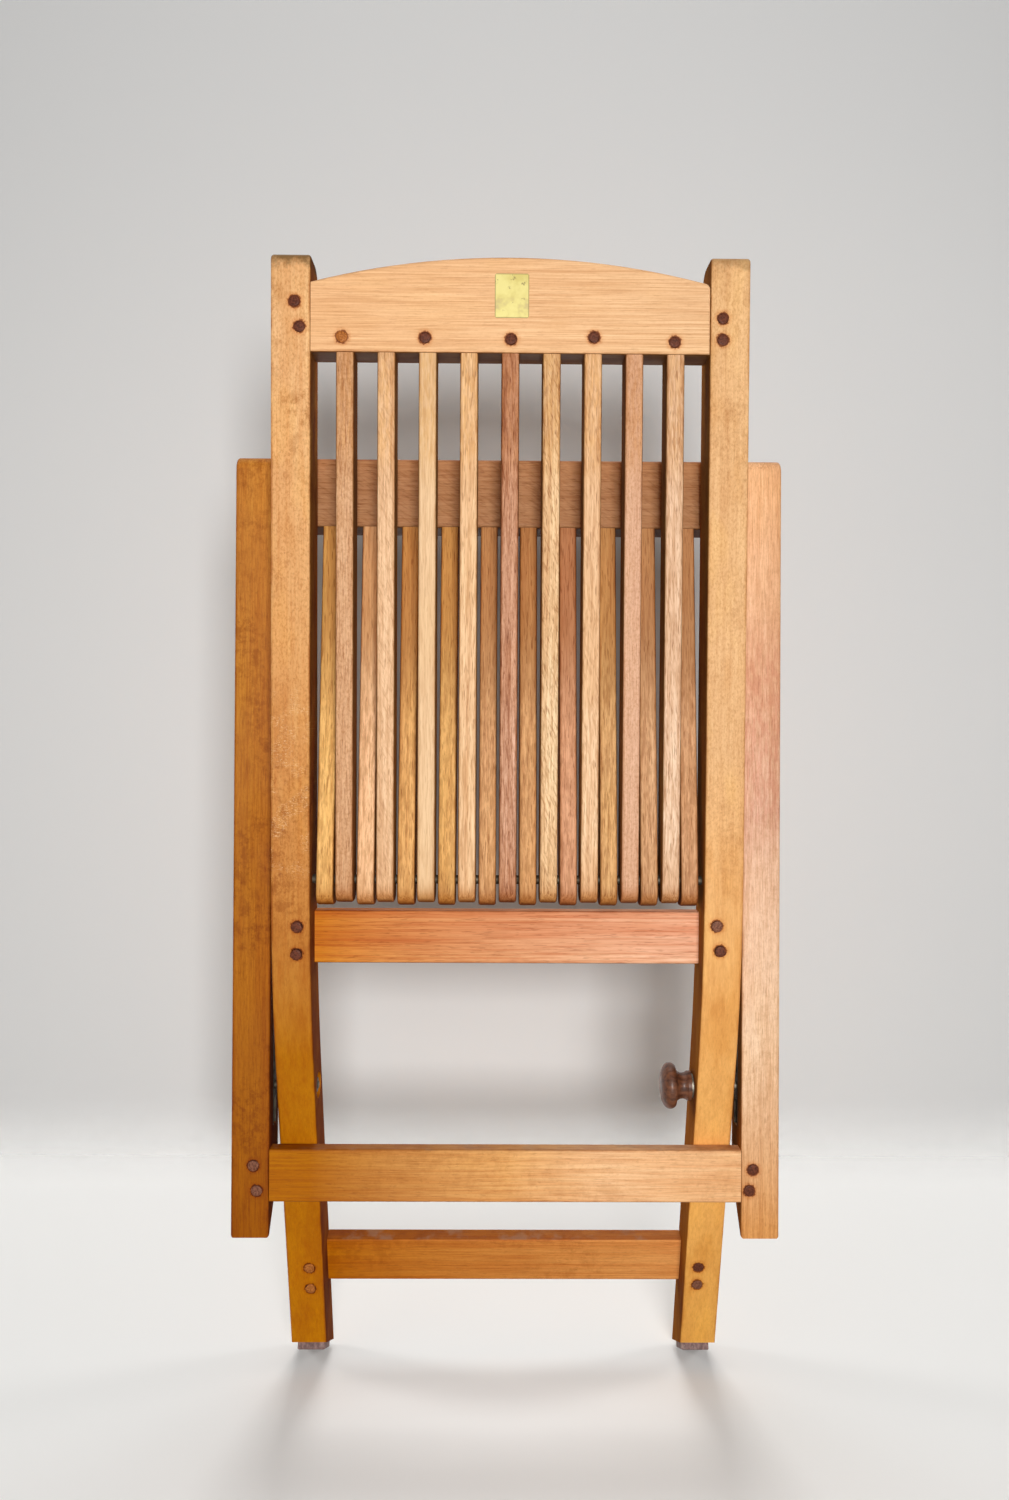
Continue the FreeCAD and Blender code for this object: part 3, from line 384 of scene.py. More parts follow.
class Pin:
    """A pin's head centre, its direction out of the wood and its length, read from its shell."""

    def __init__(self, points, faces_back):
        # The axis lies in the YZ plane, and the two end rings give it
        low = min(p.y for p in points)
        high = max(p.y for p in points)
        width = 0.25 * (high - low)
        rear = centre_of([p for p in points if p.y < low + width])
        front = centre_of([p for p in points if p.y > high - width])
        head, tail = (rear, front) if faces_back else (front, rear)
        self.out = (head - tail).normalized()
        centre = centre_of(points)
        reach = [self.out.dot(p - centre) for p in points]
        self.length = max(reach) - min(reach)
        self.head = centre + self.out * max(reach)


def all_pins():
    pins = {}
    for node in PIN_NODES:
        found = [Pin(points, node != UNDERSIDE_PINS) for points in shells(NODES[node].data)]
        pins[node] = sorted(found, key=lambda pin: (round(pin.head.x, 3), pin.head.z))
    return pins


PINS = all_pins()


def pins_on(node):
    """Heads of the pins that lie on the rear face of a node."""
    low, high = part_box(node)
    heads = [pin.head for group in REAR_PINS for pin in PINS[group]]
    return [head for head in heads if low.x < head.x < high.x and low.z < head.z < high.z
            and low.y - 0.003 < head.y < high.y]


# Wood
ALONG_X = (1, 0, 0)
ALONG_Z = (0, 0, 1)
RING_PROFILE = ((0.0, (0.05, 0.05, 0.05)), (0.5, (0.18, 0.18, 0.18)), (0.90, (1, 1, 1)), (1.0, (0.05, 0.05, 0.05)))
WOOD_ROUGHNESS = (0.46, 0.64)
OUTER_PIECE = 0.18  # pieces whose middle is further out than this get a lighter painted shade on their outer side face

# What the marks multiply the wood's colour by
RING_TINT = (0.74, 0.58, 0.44)
STREAK_TINT = (0.81, 0.69, 0.59)
FIBRE_TINT = (0.74, 0.62, 0.52)
PORE_TINT = (0.50, 0.36, 0.27)
LIGHTER = (1.10, 1.12, 1.15)
FLECK_TINT = (0.60, 0.45, 0.34)
PALE_CLOUD, DEEP_CLOUD = (1.06, 1.08, 1.02), (0.90, 0.82, 0.70)
DARK_MOTTLE, PALE_MOTTLE = (0.76, 0.64, 0.50), (1.08, 1.10, 1.12)
STAIN_TINT = (0.64, 0.50, 0.36)
SPECK_TINT = (0.50, 0.36, 0.25)
HALO_TINT = (0.78, 0.68, 0.52)
# Painted shade on the rounded lower ends of slats
END_SHADE_TINT = (0.66, 0.44, 0.22)
TOP_TINT = (0.46, 0.38, 0.31)
PIN_STAIN_TINT = (0.78, 0.52, 0.32)
# Painted shadow in the joint round each pin
PIN_JOINT_SHADOW_TINT = (0.30, 0.16, 0.10)
# Painted shade along the eased edges
EDGE_SHADE_TINT = (0.66, 0.46, 0.30)
# Painted shade on side faces, lighter on outer side faces, and on undersides
PAINTED_SIDE_SHADE = (0.36, 0.24, 0.08)
PAINTED_OUTER_SIDE_SHADE = (0.86, 0.74, 0.60)
PAINTED_UNDER_SHADE = (0.26, 0.17, 0.06)

# What covers the wood, as screen colours
GREY_TOP_TONE = (124, 94, 56)
DUST = (150, 122, 100)
SCRATCHED = (248, 208, 156)


class Wood(Shader):
    """Teak for one CAD node. Each lay_ method puts one kind of mark over the colour so far."""

    def __init__(self, node, grain, lean):
        super().__init__("wood_" + node)
        self.low, self.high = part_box(node)
        self.grain = grain
        self.dice = random.Random(node)
        self.shift = tuple(self.dice.uniform(-4, 4) for _ in range(3))
        self.leant = self.mapped(self.place, turn=(math.radians(lean), 0, 0))
        self.sample = self.mapped(self.leant, shift=self.shift)
        self.height = self.axis("Z")
        self.color = None

    def tint(self, factor, tint):
        self.color = self.tinted(self.color, factor, tint)

    def cover(self, factor, tone):
        self.color = self.mix(factor, self.color, linear(*tone))

    def grained(self, along, across, detail=3.0, roughness=0.6, place=None):
        """Noise with one scale along the grain and another across it."""
        stretch = tuple(along if part else across for part in self.grain)
        return self.noise(self.mapped(place or self.sample, stretch), 1.0, detail, roughness)

    def between(self, bottom, top, soft):
        """1 between two heights, with soft ends."""
        return self.times(self.span(self.height, bottom, bottom + soft), self.span(self.height, top, top - soft))

    def lay_tones(self, tones, axis):
        """The piece's colour along its length. On the left stile, the left leg and the lower rails these tones also
        paint shade, darker towards the lower left.
        """
        if len(tones) == 1:
            self.color = linear(*tones[0][1])
            return
        first, last = tones[0][0], tones[-1][0]
        stops = [((at - first) / (last - first), linear(*tone)) for at, tone in tones]
        self.color = self.ramp(self.span(self.axis(axis), first, last, curve="LINEAR"), stops)

    def lay_rings(self, amount, spacing):
        """Growth rings around a pith line that runs along the grain, some way outside the piece."""
        turn = self.dice.uniform(-0.9, 0.9)
        reach = self.dice.uniform(0.12, 0.30)
        aside, deep = reach * math.cos(turn), reach * math.sin(turn)
        shift = (0, deep, aside) if self.grain == ALONG_X else (aside, deep, 0)
        flat = tuple(0 if part else 1 for part in self.grain)
        radius = self.node("ShaderNodeVectorMath", operation="LENGTH")
        self.feed(self.mapped(self.leant, flat, shift=shift), radius.inputs[0])
        wander = self.grained(1.7, 15, 3.0, 0.5, self.leant)
        turns = self.math("ADD", self.times(radius.outputs["Value"], 1.0 / spacing), self.times(wander, 4.0))
        late = self.ramp(self.math("FRACT", turns), RING_PROFILE)
        faint = self.span(self.grained(4, 70, 2.0, 0.5, self.leant), 0.35, 0.65, 0.25, 1.0)
        self.tint(self.times(late, faint, amount), RING_TINT)

    def lay_streaks(self, amount, fine, tint):
        """Reddish streaks of two widths."""
        broad = self.grained(2.2, 60 * fine, 4.0)
        narrow = self.grained(7.0, 300 * fine)
        self.tint(self.span(broad, 0.42, 0.64, 0.0, amount), tint)
        self.tint(self.span(narrow, 0.46, 0.64, 0.0, amount), tint)
        self.tint(self.span(narrow, 0.46, 0.32, 0.0, amount), LIGHTER)

    def lay_fibres(self, fibre, pores, fine):
        """Fibres, and short open pores along the grain. Returns the relief that both give."""
        threads = self.grained(42 / fine, 760)
        self.tint(self.span(threads, 0.44, 0.66, 0.0, fibre), FIBRE_TINT)
        self.tint(self.span(threads, 0.50, 0.34, 0.0, fibre), LIGHTER)
        open_pore = self.span(self.grained(85, 1150, 1.0, 0.5), 0.60, 0.68)
        self.tint(self.times(open_pore, pores), PORE_TINT)
        relief = self.math("ADD", self.times(threads, 0.5), self.times(open_pore, -0.7))
        return self.bump(relief, 0.35, 0.0004)

    def lay_flecks(self, amount, degrees):
        """Flecks that slant across the grain, where the wood is figured."""
        turn = math.radians(degrees if self.grain == ALONG_Z else -degrees)
        flecks = self.grained(70, 480, place=self.mapped(self.sample, turn=(0, turn, 0)))
        self.tint(self.span(flecks, 0.52, 0.64, 0.0, amount), FLECK_TINT)
        self.tint(self.span(flecks, 0.46, 0.32, 0.0, amount), LIGHTER)

    def lay_clouds(self, amount):
        """Soft clouds. Returns their noise, which the roughness follows."""
        cloud = self.grained(9, 26, 3.0, 0.55)
        self.tint(self.span(cloud, 0.50, 0.66, 0.0, amount), PALE_CLOUD)
        self.tint(self.span(cloud, 0.50, 0.34, 0.0, amount), DEEP_CLOUD)
        return cloud

    def lay_marks(self, mottle, stains, specks, above):
        """Fine mottling, old stains and specks, which some pieces only have above a height."""
        if above is not None:
            marked = self.span(self.height, above - 0.08, above + 0.08, 0.15, 1.0)
            mottle, stains, specks = (self.times(marked, amount) for amount in (mottle, stains, specks))
        if mottle:
            grains = self.grained(330, 560, 4.0, 0.7)
            self.tint(self.times(self.span(grains, 0.46, 0.64), mottle), DARK_MOTTLE)
            self.tint(self.times(self.span(grains, 0.46, 0.30), mottle), PALE_MOTTLE)
        if stains:
            patch = self.grained(9, 16)
            blotch = self.noise(self.sample, 105.0, 5.0, 0.72)
            self.tint(self.times(self.span(patch, 0.42, 0.62), self.span(blotch, 0.44, 0.62), stains), STAIN_TINT)
        if specks:
            spot = self.noise(self.sample, 330.0, 2.0, 0.5)
            area = self.noise(self.sample, 24.0, 2.0)
            self.tint(self.times(self.span(spot, 0.63, 0.72), self.span(area, 0.44, 0.60), specks), SPECK_TINT)

    def lay_band(self, bottom, top, soft, amount, tint):
        """A tint between two heights, in streaks."""
        flow = self.grained(70, 330, 4.0, 0.65)
        around = self.between(bottom, top, soft)
        self.tint(self.times(around, self.span(flow, 0.40, 0.60, 0.4, 1.0), amount), tint)

    def lay_grey_top(self, amount):
        """A stile's top end covered in a darker grey-brown, with a soft darker halo below it."""
        wobble = self.span(self.noise(self.sample, 90.0, 3.0, 0.65), 0.3, 0.7, -0.005, 0.005, "LINEAR")
        ragged = self.math("ADD", self.height, wobble)
        top = self.high.z
        self.cover(self.span(ragged, top - 0.014, top - 0.003, 0.0, amount), GREY_TOP_TONE)
        self.tint(self.span(ragged, top - 0.070, top - 0.010, 0.0, 0.35 * amount), HALO_TINT)

    def lay_dark_end(self, amount):
        """Painted shade on the rounded lower end of a slat, darkest at the tip."""
        foot = self.low.z
        self.tint(self.span(self.height, foot + 0.001, foot + 0.022, amount, 0.0), END_SHADE_TINT)

    def lay_dusty_top(self, amount):
        """A rail's top face, darkened all over, with patches of dust on it."""
        upward = self.span(self.axis("Z", self.facing), 0.35, 0.9, 0.0, amount)
        self.tint(upward, TOP_TINT)
        loose = self.span(self.noise(self.sample, 38.0, 3.0, 0.6), 0.50, 0.66)
        self.cover(self.times(upward, loose, 0.5), DUST)

    def lay_pin_shadow_and_stain(self, heads):
        """Painted shadow in the joint around each pin, and a stain that has run from it."""
        flat_place = self.mapped(self.place, (1, 0, 1))
        nearest = None
        for head in heads:
            gap = self.node("ShaderNodeVectorMath", operation="DISTANCE")
            self.feed(flat_place, gap.inputs[0])
            gap.inputs[1].default_value = (head.x, 0, head.z)
            away = gap.outputs["Value"]
            nearest = away if nearest is None else self.math("MINIMUM", nearest, away)
        wobble = self.span(self.noise(self.place, 380.0, 3.0, 0.6), 0.25, 0.75, -0.0012, 0.0012, "LINEAR")
        rim = self.math("ADD", nearest, wobble)
        self.tint(self.span(rim, 0.0096, 0.0054, 0.0, 0.55), PIN_STAIN_TINT)
        self.tint(self.span(rim, 0.0064, 0.0054, 0.0, 0.9), PIN_JOINT_SHADOW_TINT)

    def lay_scratches(self, bottom, top, amount):
        lines = self.noise(self.mapped(self.place, (150, 1, 900), (0, 0.35, 0), self.shift), 1.0, 1.0, 0.4)
        thin = self.span(self.math("ABSOLUTE", self.math("SUBTRACT", lines, 0.5)), 0.024, 0.0)
        gate = self.span(self.noise(self.sample, 46.0, 1.0), 0.46, 0.56)
        self.cover(self.times(thin, self.between(bottom, top, 0.02), gate, amount), SCRATCHED)

    def lay_edge_shade(self, amount):
        """Painted shade along the edges that run with the grain, darker in uneven stretches."""
        side, near, far = ("Z", self.low.z, self.high.z) if self.grain == ALONG_X else ("X", self.low.x, self.high.x)
        across = self.axis(side)
        border = self.math("MAXIMUM", self.span(across, near + 0.0030, near + 0.0006),
                           self.span(across, far - 0.0030, far - 0.0006))
        self.tint(self.times(border, self.span(self.grained(30, 60), 0.38, 0.62), amount), EDGE_SHADE_TINT)

    def lay_painted_shade(self):
        """Painted shade: faces that look sideways or down are darkened, on outer pieces less so on the outer side.
        Returns how far a face looks sideways.
        """
        middle = (self.low.x + self.high.x) / 2
        across = self.axis("X", self.facing)
        sideways = self.span(self.math("ABSOLUTE", across), 0.55, 0.95)
        if abs(middle) > OUTER_PIECE:
            inward = self.span(self.times(across, -math.copysign(1, middle)), 0.55, 0.95)
            self.tint(inward, PAINTED_SIDE_SHADE)
            self.tint(self.math("SUBTRACT", sideways, inward), PAINTED_OUTER_SIDE_SHADE)
        else:
            self.tint(sideways, PAINTED_SIDE_SHADE)
        self.tint(self.span(self.axis("Z", self.facing), -0.55, -0.95), PAINTED_UNDER_SHADE)
        return sideways


def wood(node, tones, grain=ALONG_Z, lean=0.0, tone_axis="Z", rings=0.35, spacing=0.0045, streaks=0.4, fine=1.0,
         streak_tint=STREAK_TINT, fibre=0.5, pores=0.5, figure=None, clouds=0.25, mottle=0.0, stains=0.0,
         specks=0.0, marked_above=None, bands=(), grey_top=0.0, dark_end=0.0, dusty_top=0.0, scratches=None,
         edges=0.5):
    """Dress a CAD node in teak. tones is a list of (place in metres, screen colour) along tone_axis."""
    teak = Wood(node, grain, lean)
    teak.lay_tones(tones, tone_axis)
    teak.lay_rings(rings, spacing)
    teak.lay_streaks(streaks, fine, streak_tint)
    relief = teak.lay_fibres(fibre, pores, fine)
    if figure:
        teak.lay_flecks(*figure)
    cloud = teak.lay_clouds(clouds)
    teak.lay_marks(mottle, stains, specks, marked_above)
    for band in bands:
        teak.lay_band(*band)
    if grey_top:
        teak.lay_grey_top(grey_top)
    if dark_end:
        teak.lay_dark_end(dark_end)
    if dusty_top:
        teak.lay_dusty_top(dusty_top)
    heads = pins_on(node)
    if heads:
        teak.lay_pin_shadow_and_stain(heads)
    if scratches:
        teak.lay_scratches(*scratches)
    teak.lay_edge_shade(edges)
    sideways = teak.lay_painted_shade()
    dull = teak.math("MAXIMUM", teak.span(cloud, 0.35, 0.65, *WOOD_ROUGHNESS), teak.times(sideways, 0.9))
    dress(node, teak.finish(teak.color, dull, relief, Specular_IOR_Level=0.12))


BACK_SLATS = (
    # tone, then how streaky, pored and figured the slat is
    ((228, 180, 138), dict(streaks=0.4, fibre=0.7, pores=0.5, mottle=0.7)),
    ((246, 204, 162), dict(streaks=0.4, fibre=0.6, pores=0.5, figure=(0.35, 24), mottle=0.2)),
    ((242, 204, 160), dict(rings=0.15, streaks=0.2, fibre=0.4, pores=0.2)),
    ((248, 206, 160), dict(streaks=0.4, fibre=0.8, pores=0.6)),
    ((214, 162, 130), dict(streaks=0.8, fibre=1.0, pores=1.0, figure=(0.45, 8), mottle=0.4)),
    ((246, 208, 162), dict(streaks=0.5, fibre=0.8, pores=0.8, figure=(0.65, 20), mottle=0.2)),
    ((240, 196, 152), dict(streaks=0.4, fibre=0.7, pores=0.6, figure=(0.3, 16))),
    ((228, 180, 148), dict(rings=0.1, streaks=0.25, fibre=0.4, pores=0.3, mottle=0.6)),
    ((240, 202, 168), dict(streaks=0.5, fibre=0.8, pores=0.7, figure=(0.4, 10))),
)
# Bands: bottom, top, length of their soft ends, amount, tint
# The back slats are darker towards the top and towards the foot
DARKER_TOP = (0.84, 1.02, 0.05, 0.9, (0.90, 0.79, 0.60))
DARKER_FOOT = (0.40, 0.55, 0.05, 0.5, (0.90, 0.82, 0.72))
PALE_FOOT = (0.50, 0.68, 0.05, 1.0, (1.15, 1.28, 1.42))
PALE_WAIST = (0.56, 0.74, 0.05, 0.9, (1.05, 1.14, 1.22))
SLAT_BANDS = {5: (PALE_FOOT,), 6: (PALE_WAIST,), 7: (PALE_FOOT,), 9: (PALE_FOOT,)}
# The seat slats' tones are darker than the back slats', painted shade from the back slats that cover them
SEAT_SLAT_TONES = (
    (214, 160, 88), (214, 162, 112), (196, 139, 76), (197, 142, 76), (188, 133, 82),
    (187, 131, 78), (188, 129, 87), (196, 145, 88), (188, 137, 90), (184, 131, 86),
)
# Painted light: the seat slats' lower parts are made much lighter, where they come forward and the back slats shade
# them less
PAINTED_LIGHT_FOOT = (0.42, 0.74, 0.12, 1.0, (1.62, 1.92, 2.45))
REDDENED = (0.50, 0.76, 0.08, 1.0, (0.84, 0.68, 0.66))
PALE_STRIP = (0.40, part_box("mid_rail")[0].z + 0.012, 0.003, 0.9, (1.08, 1.20, 1.24))
# How far the folded rear legs and seat lean, in degrees
REAR_LEAN = 1.957
SEAT_LEAN = 7.4


def dress_wood():
    smooth = dict(rings=0.06, fibre=0.2, pores=0.12)
    # The left stile's and left leg's tones darken towards the bottom, and the lower rails' towards the left: painted
    # shade over the wood's own colour
    wood("left_back_stile", [(0.04, (206, 128, 2)), (0.34, (188, 116, 8)), (0.62, (224, 162, 96)),
                             (1.02, (250, 200, 146))],
         streaks=0.4, streak_tint=(0.86, 0.68, 0.50), clouds=1.0, mottle=0.7, stains=0.9, specks=0.3,
         grey_top=0.9, scratches=(0.50, 0.68, 0.9), marked_above=0.46, edges=0.8, **smooth)
    wood("right_back_stile", [(0.04, (250, 182, 88)), (0.40, (248, 186, 112)), (0.62, (236, 187, 134)),
                              (1.02, (244, 196, 142))],
         streaks=0.3, clouds=1.0, mottle=0.6, stains=0.35, specks=0.15, grey_top=0.45, marked_above=0.50,
         **smooth)
    wood("crest_rail", [(-0.16, (252, 200, 148)), (0.16, (250, 204, 156))], ALONG_X, tone_axis="X",
         rings=0.12, streaks=0.4, fine=3.0, fibre=0.5, pores=0.2, clouds=0.3, mottle=0.12)
    wood("mid_rail", [(-0.17, (212, 126, 28)), (0.17, (248, 190, 156))], ALONG_X, tone_axis="X",
         rings=0.35, spacing=0.006, streaks=0.75, fine=1.4, streak_tint=(0.84, 0.62, 0.50), fibre=0.4, pores=0.4,
         dusty_top=0.5, bands=(PALE_STRIP,))
    wood("front_stretcher", [(-0.17, (200, 118, 2)), (0.17, (240, 168, 96))], ALONG_X, tone_axis="X",
         rings=0.25, streaks=0.5, fine=1.4, streak_tint=(0.84, 0.64, 0.50), fibre=0.3, pores=0.3, clouds=0.4,
         mottle=0.2, stains=0.4, dusty_top=0.9)
    for number, (tone, look) in enumerate(BACK_SLATS, 1):
        bands = (DARKER_TOP, DARKER_FOOT) + SLAT_BANDS.get(number, ())
        wood("back_slat_%d" % number, [(0, tone)], dark_end=1.0, clouds=0.2, bands=bands, **look)
    # The seat rail's darker tone is partly painted shade from the back slats that cover it
    wood("seat_front_rail", [(0, (180, 132, 92))], ALONG_X, lean=SEAT_LEAN, streaks=0.3, fibre=0.5, figure=(0.35, 30))
    for number, tone in enumerate(SEAT_SLAT_TONES, 1):
        wood("seat_slat_%d" % number, [(0, tone)], lean=SEAT_LEAN, streaks=0.4, fibre=0.6, pores=0.6, dark_end=1.0,
             bands=(PAINTED_LIGHT_FOOT,))
    legs = dict(lean=REAR_LEAN, rings=0.12, streaks=0.45, fibre=0.5, pores=0.3)
    wood("left_rear_leg", [(0.18, (164, 92, 2)), (0.50, (182, 112, 26)), (0.86, (206, 140, 58))],
         streak_tint=(0.80, 0.62, 0.46), clouds=0.7, mottle=0.3, stains=0.8, specks=0.3, edges=0.8, **legs)
    wood("right_rear_leg", [(0.18, (228, 162, 96)), (0.36, (255, 220, 186)), (0.56, (240, 200, 172)),
                            (0.86, (248, 196, 148))],
         clouds=0.4, mottle=0.3, stains=0.25, bands=(REDDENED,), **legs)
    wood("rear_stretcher", [(-0.18, (186, 112, 4)), (0.0, (240, 180, 112)), (0.09, (255, 206, 156)),
                            (0.2, (252, 200, 148))], ALONG_X, lean=REAR_LEAN,
         tone_axis="X", rings=0.12, streaks=0.5, fine=1.6, streak_tint=(0.86, 0.68, 0.54), fibre=0.4, pores=0.3,
         clouds=0.4, mottle=0.15, stains=0.25, specks=0.2, dusty_top=0.6)


# Pins: plugs of a darker wood, cut off by hand, with a dark chipped rim whose colour is painted shadow in the joint
PIN_TONES = (
    # the lighter and the darker part of a dark, a grey and a pale pin
    ((114, 60, 40), (74, 36, 22)),
    ((142, 92, 70), (98, 58, 42)),
    ((198, 122, 58), (150, 84, 34)),
)
# The rim kind's dark colour is painted shadow in the joint round a pin
DARK, GREY, PALE, RIM_SHADOW = range(4)
PIN_CROWN = 0.00035
PIN_SUNK = 0.0006
PIN_BODIES = {"back_frame_dowels": "back_frame", "crest_slat_dowels": "back_frame",
              "rear_leg_dowels": "rear_legs", "seat_slat_dowels": "seat"}


def pin_materials():
    """The materials of the kinds DARK, GREY, PALE and RIM_SHADOW, in that order."""
    made = []
    for name, (light, dark) in zip(("pin_dark", "pin_grey", "pin_pale"), PIN_TONES):
        shader = Shader(name)
        speck = shader.noise(shader.place, 700.0, 3.0, 0.6)
        color = shader.mix(shader.span(speck, 0.34, 0.66), linear(*light), linear(*dark))
        made.append(shader.finish(color, 0.5, shader.bump(speck, 0.5, 0.0003), Specular_IOR_Level=0.15))
    # Painted shadow: the rim's dark colour stands for the shadow in the joint
    rim = Shader("pin_rim_shadow")
    speck = rim.noise(rim.place, 500.0, 2.0, 0.5)
    color = rim.mix(rim.span(speck, 0.3, 0.7), linear(46, 24, 18), linear(84, 46, 32))
    made.append(rim.finish(color, 0.75))
    return made


def pin_kind(node, pin, usual):
    """Which wood a pin is: the first crest pin and the front left ones are as pale as the frame."""
    first_of_crest = node == "crest_slat_dowels" and pin.head.x < -0.12
    on_the_left = node == "back_frame_dowels" and pin.head.x < 0
    if first_of_crest or on_the_left and pin.head.z < 0.3:
        return PALE
    return DARK if on_the_left else usual


def add_pin(shape, node, pin, dice):
    """One pin, whose outline is a little uneven, chipped on one side and cut off at a slight tilt."""
    across = Vector((1, 0, 0))
    up = pin.out.cross(across)
    if up.z < 0:
        up = -up
    swing = [dice.uniform(0, 2 * math.pi) for _ in range(3)]
    chip = dice.uniform(0.86, 0.96)
    tilt = Vector((dice.uniform(-0.04, 0.04), dice.uniform(-0.04, 0.04)))
    usual = dice.choice((DARK, DARK, GREY)) if node != "crest_slat_dowels" else DARK
    kind = pin_kind(node, pin, usual)
    rings = []
    # radius share, height over the wood: from the deep end up to the crown
    for share, lift in ((0.97, -pin.length), (0.97, -PIN_SUNK), (1.0, 0.0), (0.90, PIN_CROWN),
                        (0.55, 1.25 * PIN_CROWN)):
        ring = []
        for step in range(PIN_SIDES):
            turn = 2 * math.pi * step / PIN_SIDES
            reach = 1 + 0.045 * math.cos(2 * turn + swing[0]) + 0.03 * math.cos(3 * turn + swing[1])
            reach = min(reach, chip / max(0.3, math.cos(turn - swing[2])))
            side = PIN_RADIUS * share * (min(reach, 0.98) if lift < 0 else reach)
            flat = Vector((side * math.cos(turn), side * math.sin(turn)))
            rise = lift + (flat.dot(tilt) if lift > 0 else 0.0)
            ring.append(shape.verts.new(pin.head + pin.out * rise + across * flat.x + up * flat.y))
        rings.append(ring)
    # The sides below the wood's face take the rim kind, painted shadow in the joint
    for level, (lower, upper) in enumerate(zip(rings, rings[1:])):
        for step in range(PIN_SIDES):
            after = (step + 1) % PIN_SIDES
            face = shape.faces.new((lower[step], lower[after], upper[after], upper[step]))
            face.material_index = RIM_SHADOW if level < 2 else kind
            face.smooth = True
    shape.faces.new(rings[-1]).material_index = kind
    shape.faces.new(list(reversed(rings[0]))).material_index = RIM_SHADOW


def make_pins():
    materials = pin_materials()
    for node, pins in PINS.items():
        dice = random.Random(node)
        shape = bmesh.new()
        for pin in pins:
            add_pin(shape, node, pin, dice)
        name = node.replace("dowels", "pins")
        mesh = outward_mesh(name, shape)
        for material in materials:
            mesh.materials.append(material)
        piece = add_object(name, mesh)
        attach(piece, PIN_BODIES[node])
        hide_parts(node)


# Metal, knob and foot pads
def metal(name, tone, roughness, nodes):
    shader = Shader(name)
    tarnish = shader.noise(shader.place, 140.0, 4.0, 0.65)
    dim = tuple(0.55 * c for c in tone)
    color = shader.mix(shader.span(tarnish, 0.45, 0.75, 0.0, 0.55), linear(*tone), linear(*dim))
    dull = shader.span(tarnish, 0.35, 0.7, roughness, roughness + 0.25)
    material = shader.finish(color, dull, shader.bump(tarnish, 0.15, 0.0002), Metallic=1.0)
    for node in nodes:
        dress(node, material)


def dress_small_parts():
    metal("zinc", (150, 144, 130), 0.42,
          ("right_clamp_bolt", "knob_washer", "left_pivot_bolt", "right_pivot_bolt", "pivot_washers", "track_screws",
           "front_glide_nails", "rear_glide_nails"))
    metal("old_steel", (92, 84, 72), 0.55,
          ("seat_rod", "left_clamp_bolt", "left_clamp_nut", "left_clamp_washer", "left_track_channel",
           "right_track_channel", "left_track_slider", "right_track_slider"))
    metal("brass", (214, 180, 110), 0.28, ("knob_insert",))

    knob = Shader("knob_wood")
    rings = knob.noise(knob.mapped(knob.place, (900, 4, 4)), 1.0, 2.0, 0.5)
    swirl = knob.noise(knob.mapped(knob.place, (60, 190, 190)), 1.0, 4.0, 0.6)
    color = knob.mix(knob.span(swirl, 0.3, 0.7), linear(62, 34, 22), linear(122, 74, 48))
    color = knob.tinted(color, knob.span(rings, 0.45, 0.7, 0.0, 0.4), (0.7, 0.62, 0.56))
    surface = knob.bump(knob.math("ADD", rings, knob.times(swirl, 0.5)), 0.12, 0.0003)
    dress("lock_knob", knob.finish(color, 0.46, surface, Specular_IOR_Level=0.3, Coat_Weight=0.15,
                                   Coat_Roughness=0.25))

    pad = Shader("pad_plastic")
    scuff = pad.noise(pad.mapped(pad.place, (300, 300, 60)), 1.0, 4.0, 0.6)
    chalk = pad.noise(pad.place, 90.0, 3.0, 0.6)
    color = pad.mix(pad.span(scuff, 0.35, 0.7), linear(92, 60, 56), linear(150, 116, 110))
    color = pad.mix(pad.span(chalk, 0.56, 0.68, 0.0, 0.5), color, linear(186, 160, 150))
    for node in ("front_foot_glides", "rear_foot_glides"):
        dress(node, pad.finish(color, 0.6, pad.bump(scuff, 0.3, 0.0003)))


# Blank label on the crest rail
LABEL_CENTRE_X = 0.0009
LABEL_CENTRE_Z = 1.0168
LABEL_WIDTH = 0.0300
LABEL_HEIGHT = 0.0385
LABEL_THICKNESS = 0.0003
LABEL_CORNER = 0.0020
LABEL_CORNER_STEPS = 4


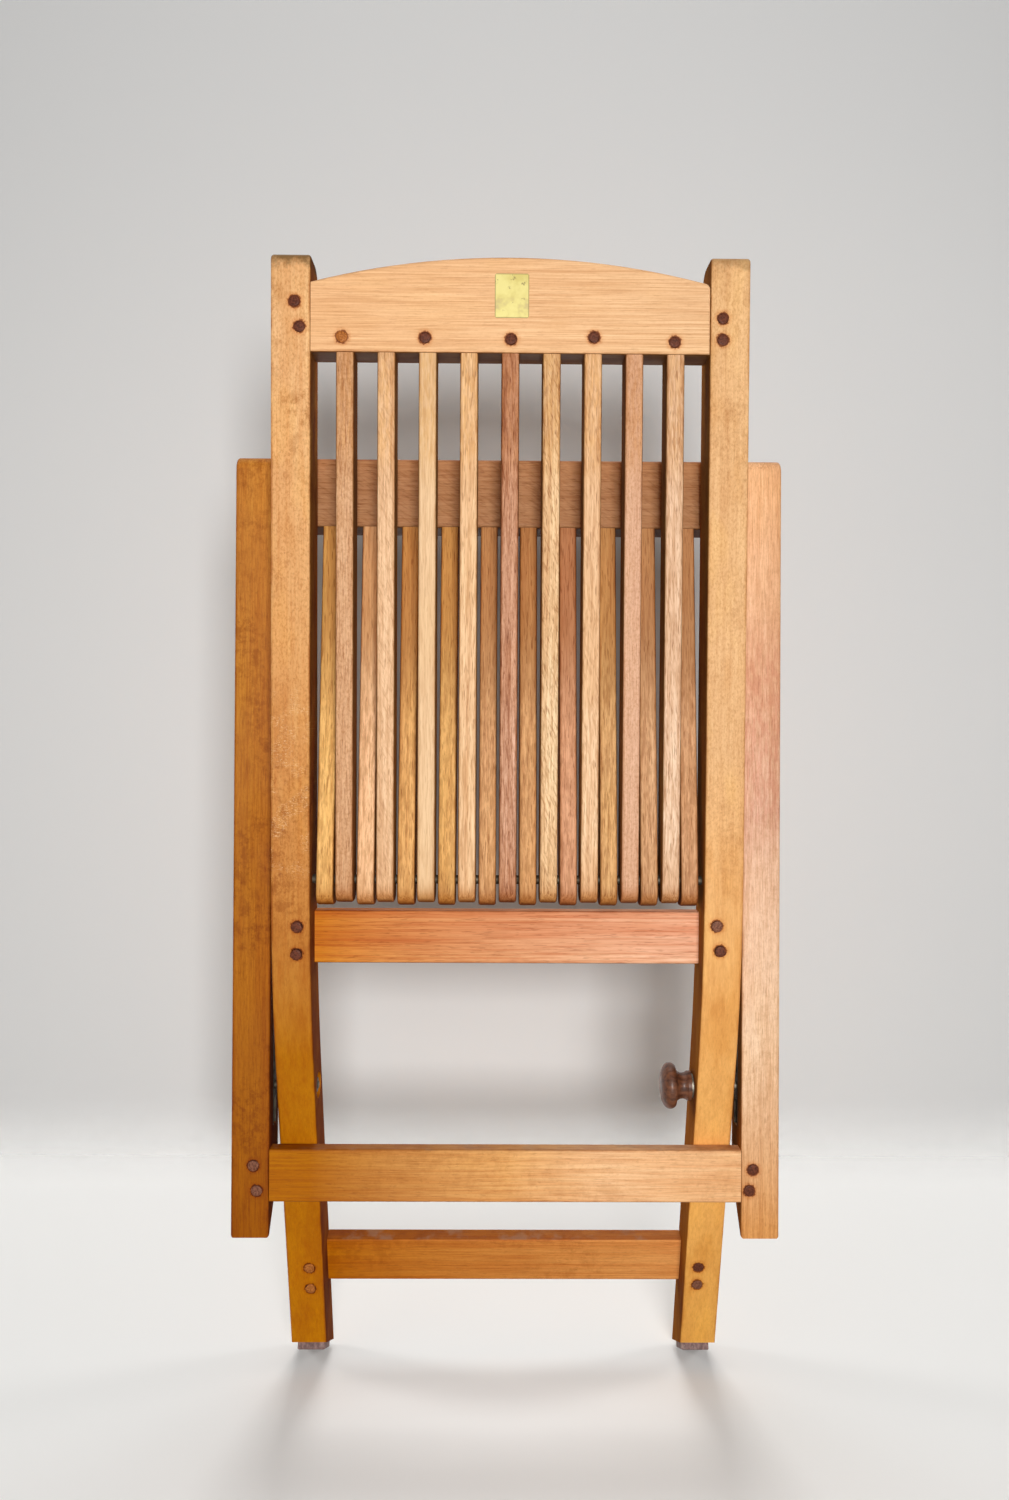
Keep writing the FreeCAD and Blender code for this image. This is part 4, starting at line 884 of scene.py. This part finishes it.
def make_label():
    rear_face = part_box("crest_rail")[0].y
    shape = bmesh.new()
    ring = []
    for corner_x, corner_z, start in ((1, 1, 0), (-1, 1, 90), (-1, -1, 180), (1, -1, 270)):
        for step in range(LABEL_CORNER_STEPS + 1):
            turn = math.radians(start + 90 * step / LABEL_CORNER_STEPS)
            x = corner_x * (LABEL_WIDTH / 2 - LABEL_CORNER) + LABEL_CORNER * math.cos(turn)
            z = corner_z * (LABEL_HEIGHT / 2 - LABEL_CORNER) + LABEL_CORNER * math.sin(turn)
            ring.append(shape.verts.new((LABEL_CENTRE_X + x, rear_face, LABEL_CENTRE_Z + z)))
    face = shape.faces.new(ring)
    moved = bmesh.ops.extrude_face_region(shape, geom=[face])
    for vert in (item for item in moved["geom"] if isinstance(item, bmesh.types.BMVert)):
        vert.co.y -= LABEL_THICKNESS
    mesh = outward_mesh("blank_label", shape)
    label = add_object("blank_label", mesh)

    shader = Shader("label_foil")
    grain = shader.noise(shader.place, 150.0, 5.0, 0.65)
    soft = shader.noise(shader.place, 60.0, 3.0, 0.6)
    color = shader.mix(shader.span(soft, 0.35, 0.65), linear(232, 218, 138), linear(214, 196, 112))
    color = shader.mix(shader.span(grain, 0.60, 0.68, 0.0, 0.8), color, linear(120, 98, 58))
    lower = shader.span(shader.axis("Z"), LABEL_CENTRE_Z + 0.002, LABEL_CENTRE_Z - 0.008)
    rubbed = shader.times(lower, shader.span(soft, 0.44, 0.60), 0.7)
    color = shader.mix(rubbed, color, linear(196, 176, 128))
    aside = shader.math("ABSOLUTE", shader.math("SUBTRACT", shader.axis("X"), LABEL_CENTRE_X))
    along = shader.math("ABSOLUTE", shader.math("SUBTRACT", shader.axis("Z"), LABEL_CENTRE_Z))
    border = shader.math("MAXIMUM", shader.span(aside, LABEL_WIDTH / 2 - 0.0012, LABEL_WIDTH / 2 - 0.0002),
                         shader.span(along, LABEL_HEIGHT / 2 - 0.0012, LABEL_HEIGHT / 2 - 0.0002))
    color = shader.mix(shader.times(border, 0.75), color, linear(132, 108, 62))
    mesh.materials.append(shader.finish(color, 0.40, shader.bump(grain, 0.2, 0.0002), Metallic=0.15))
    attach(label, "back_frame")


make_camera()
make_stage()
make_lights()
make_world()
dress_wood()
make_pins()
dress_small_parts()
make_label()
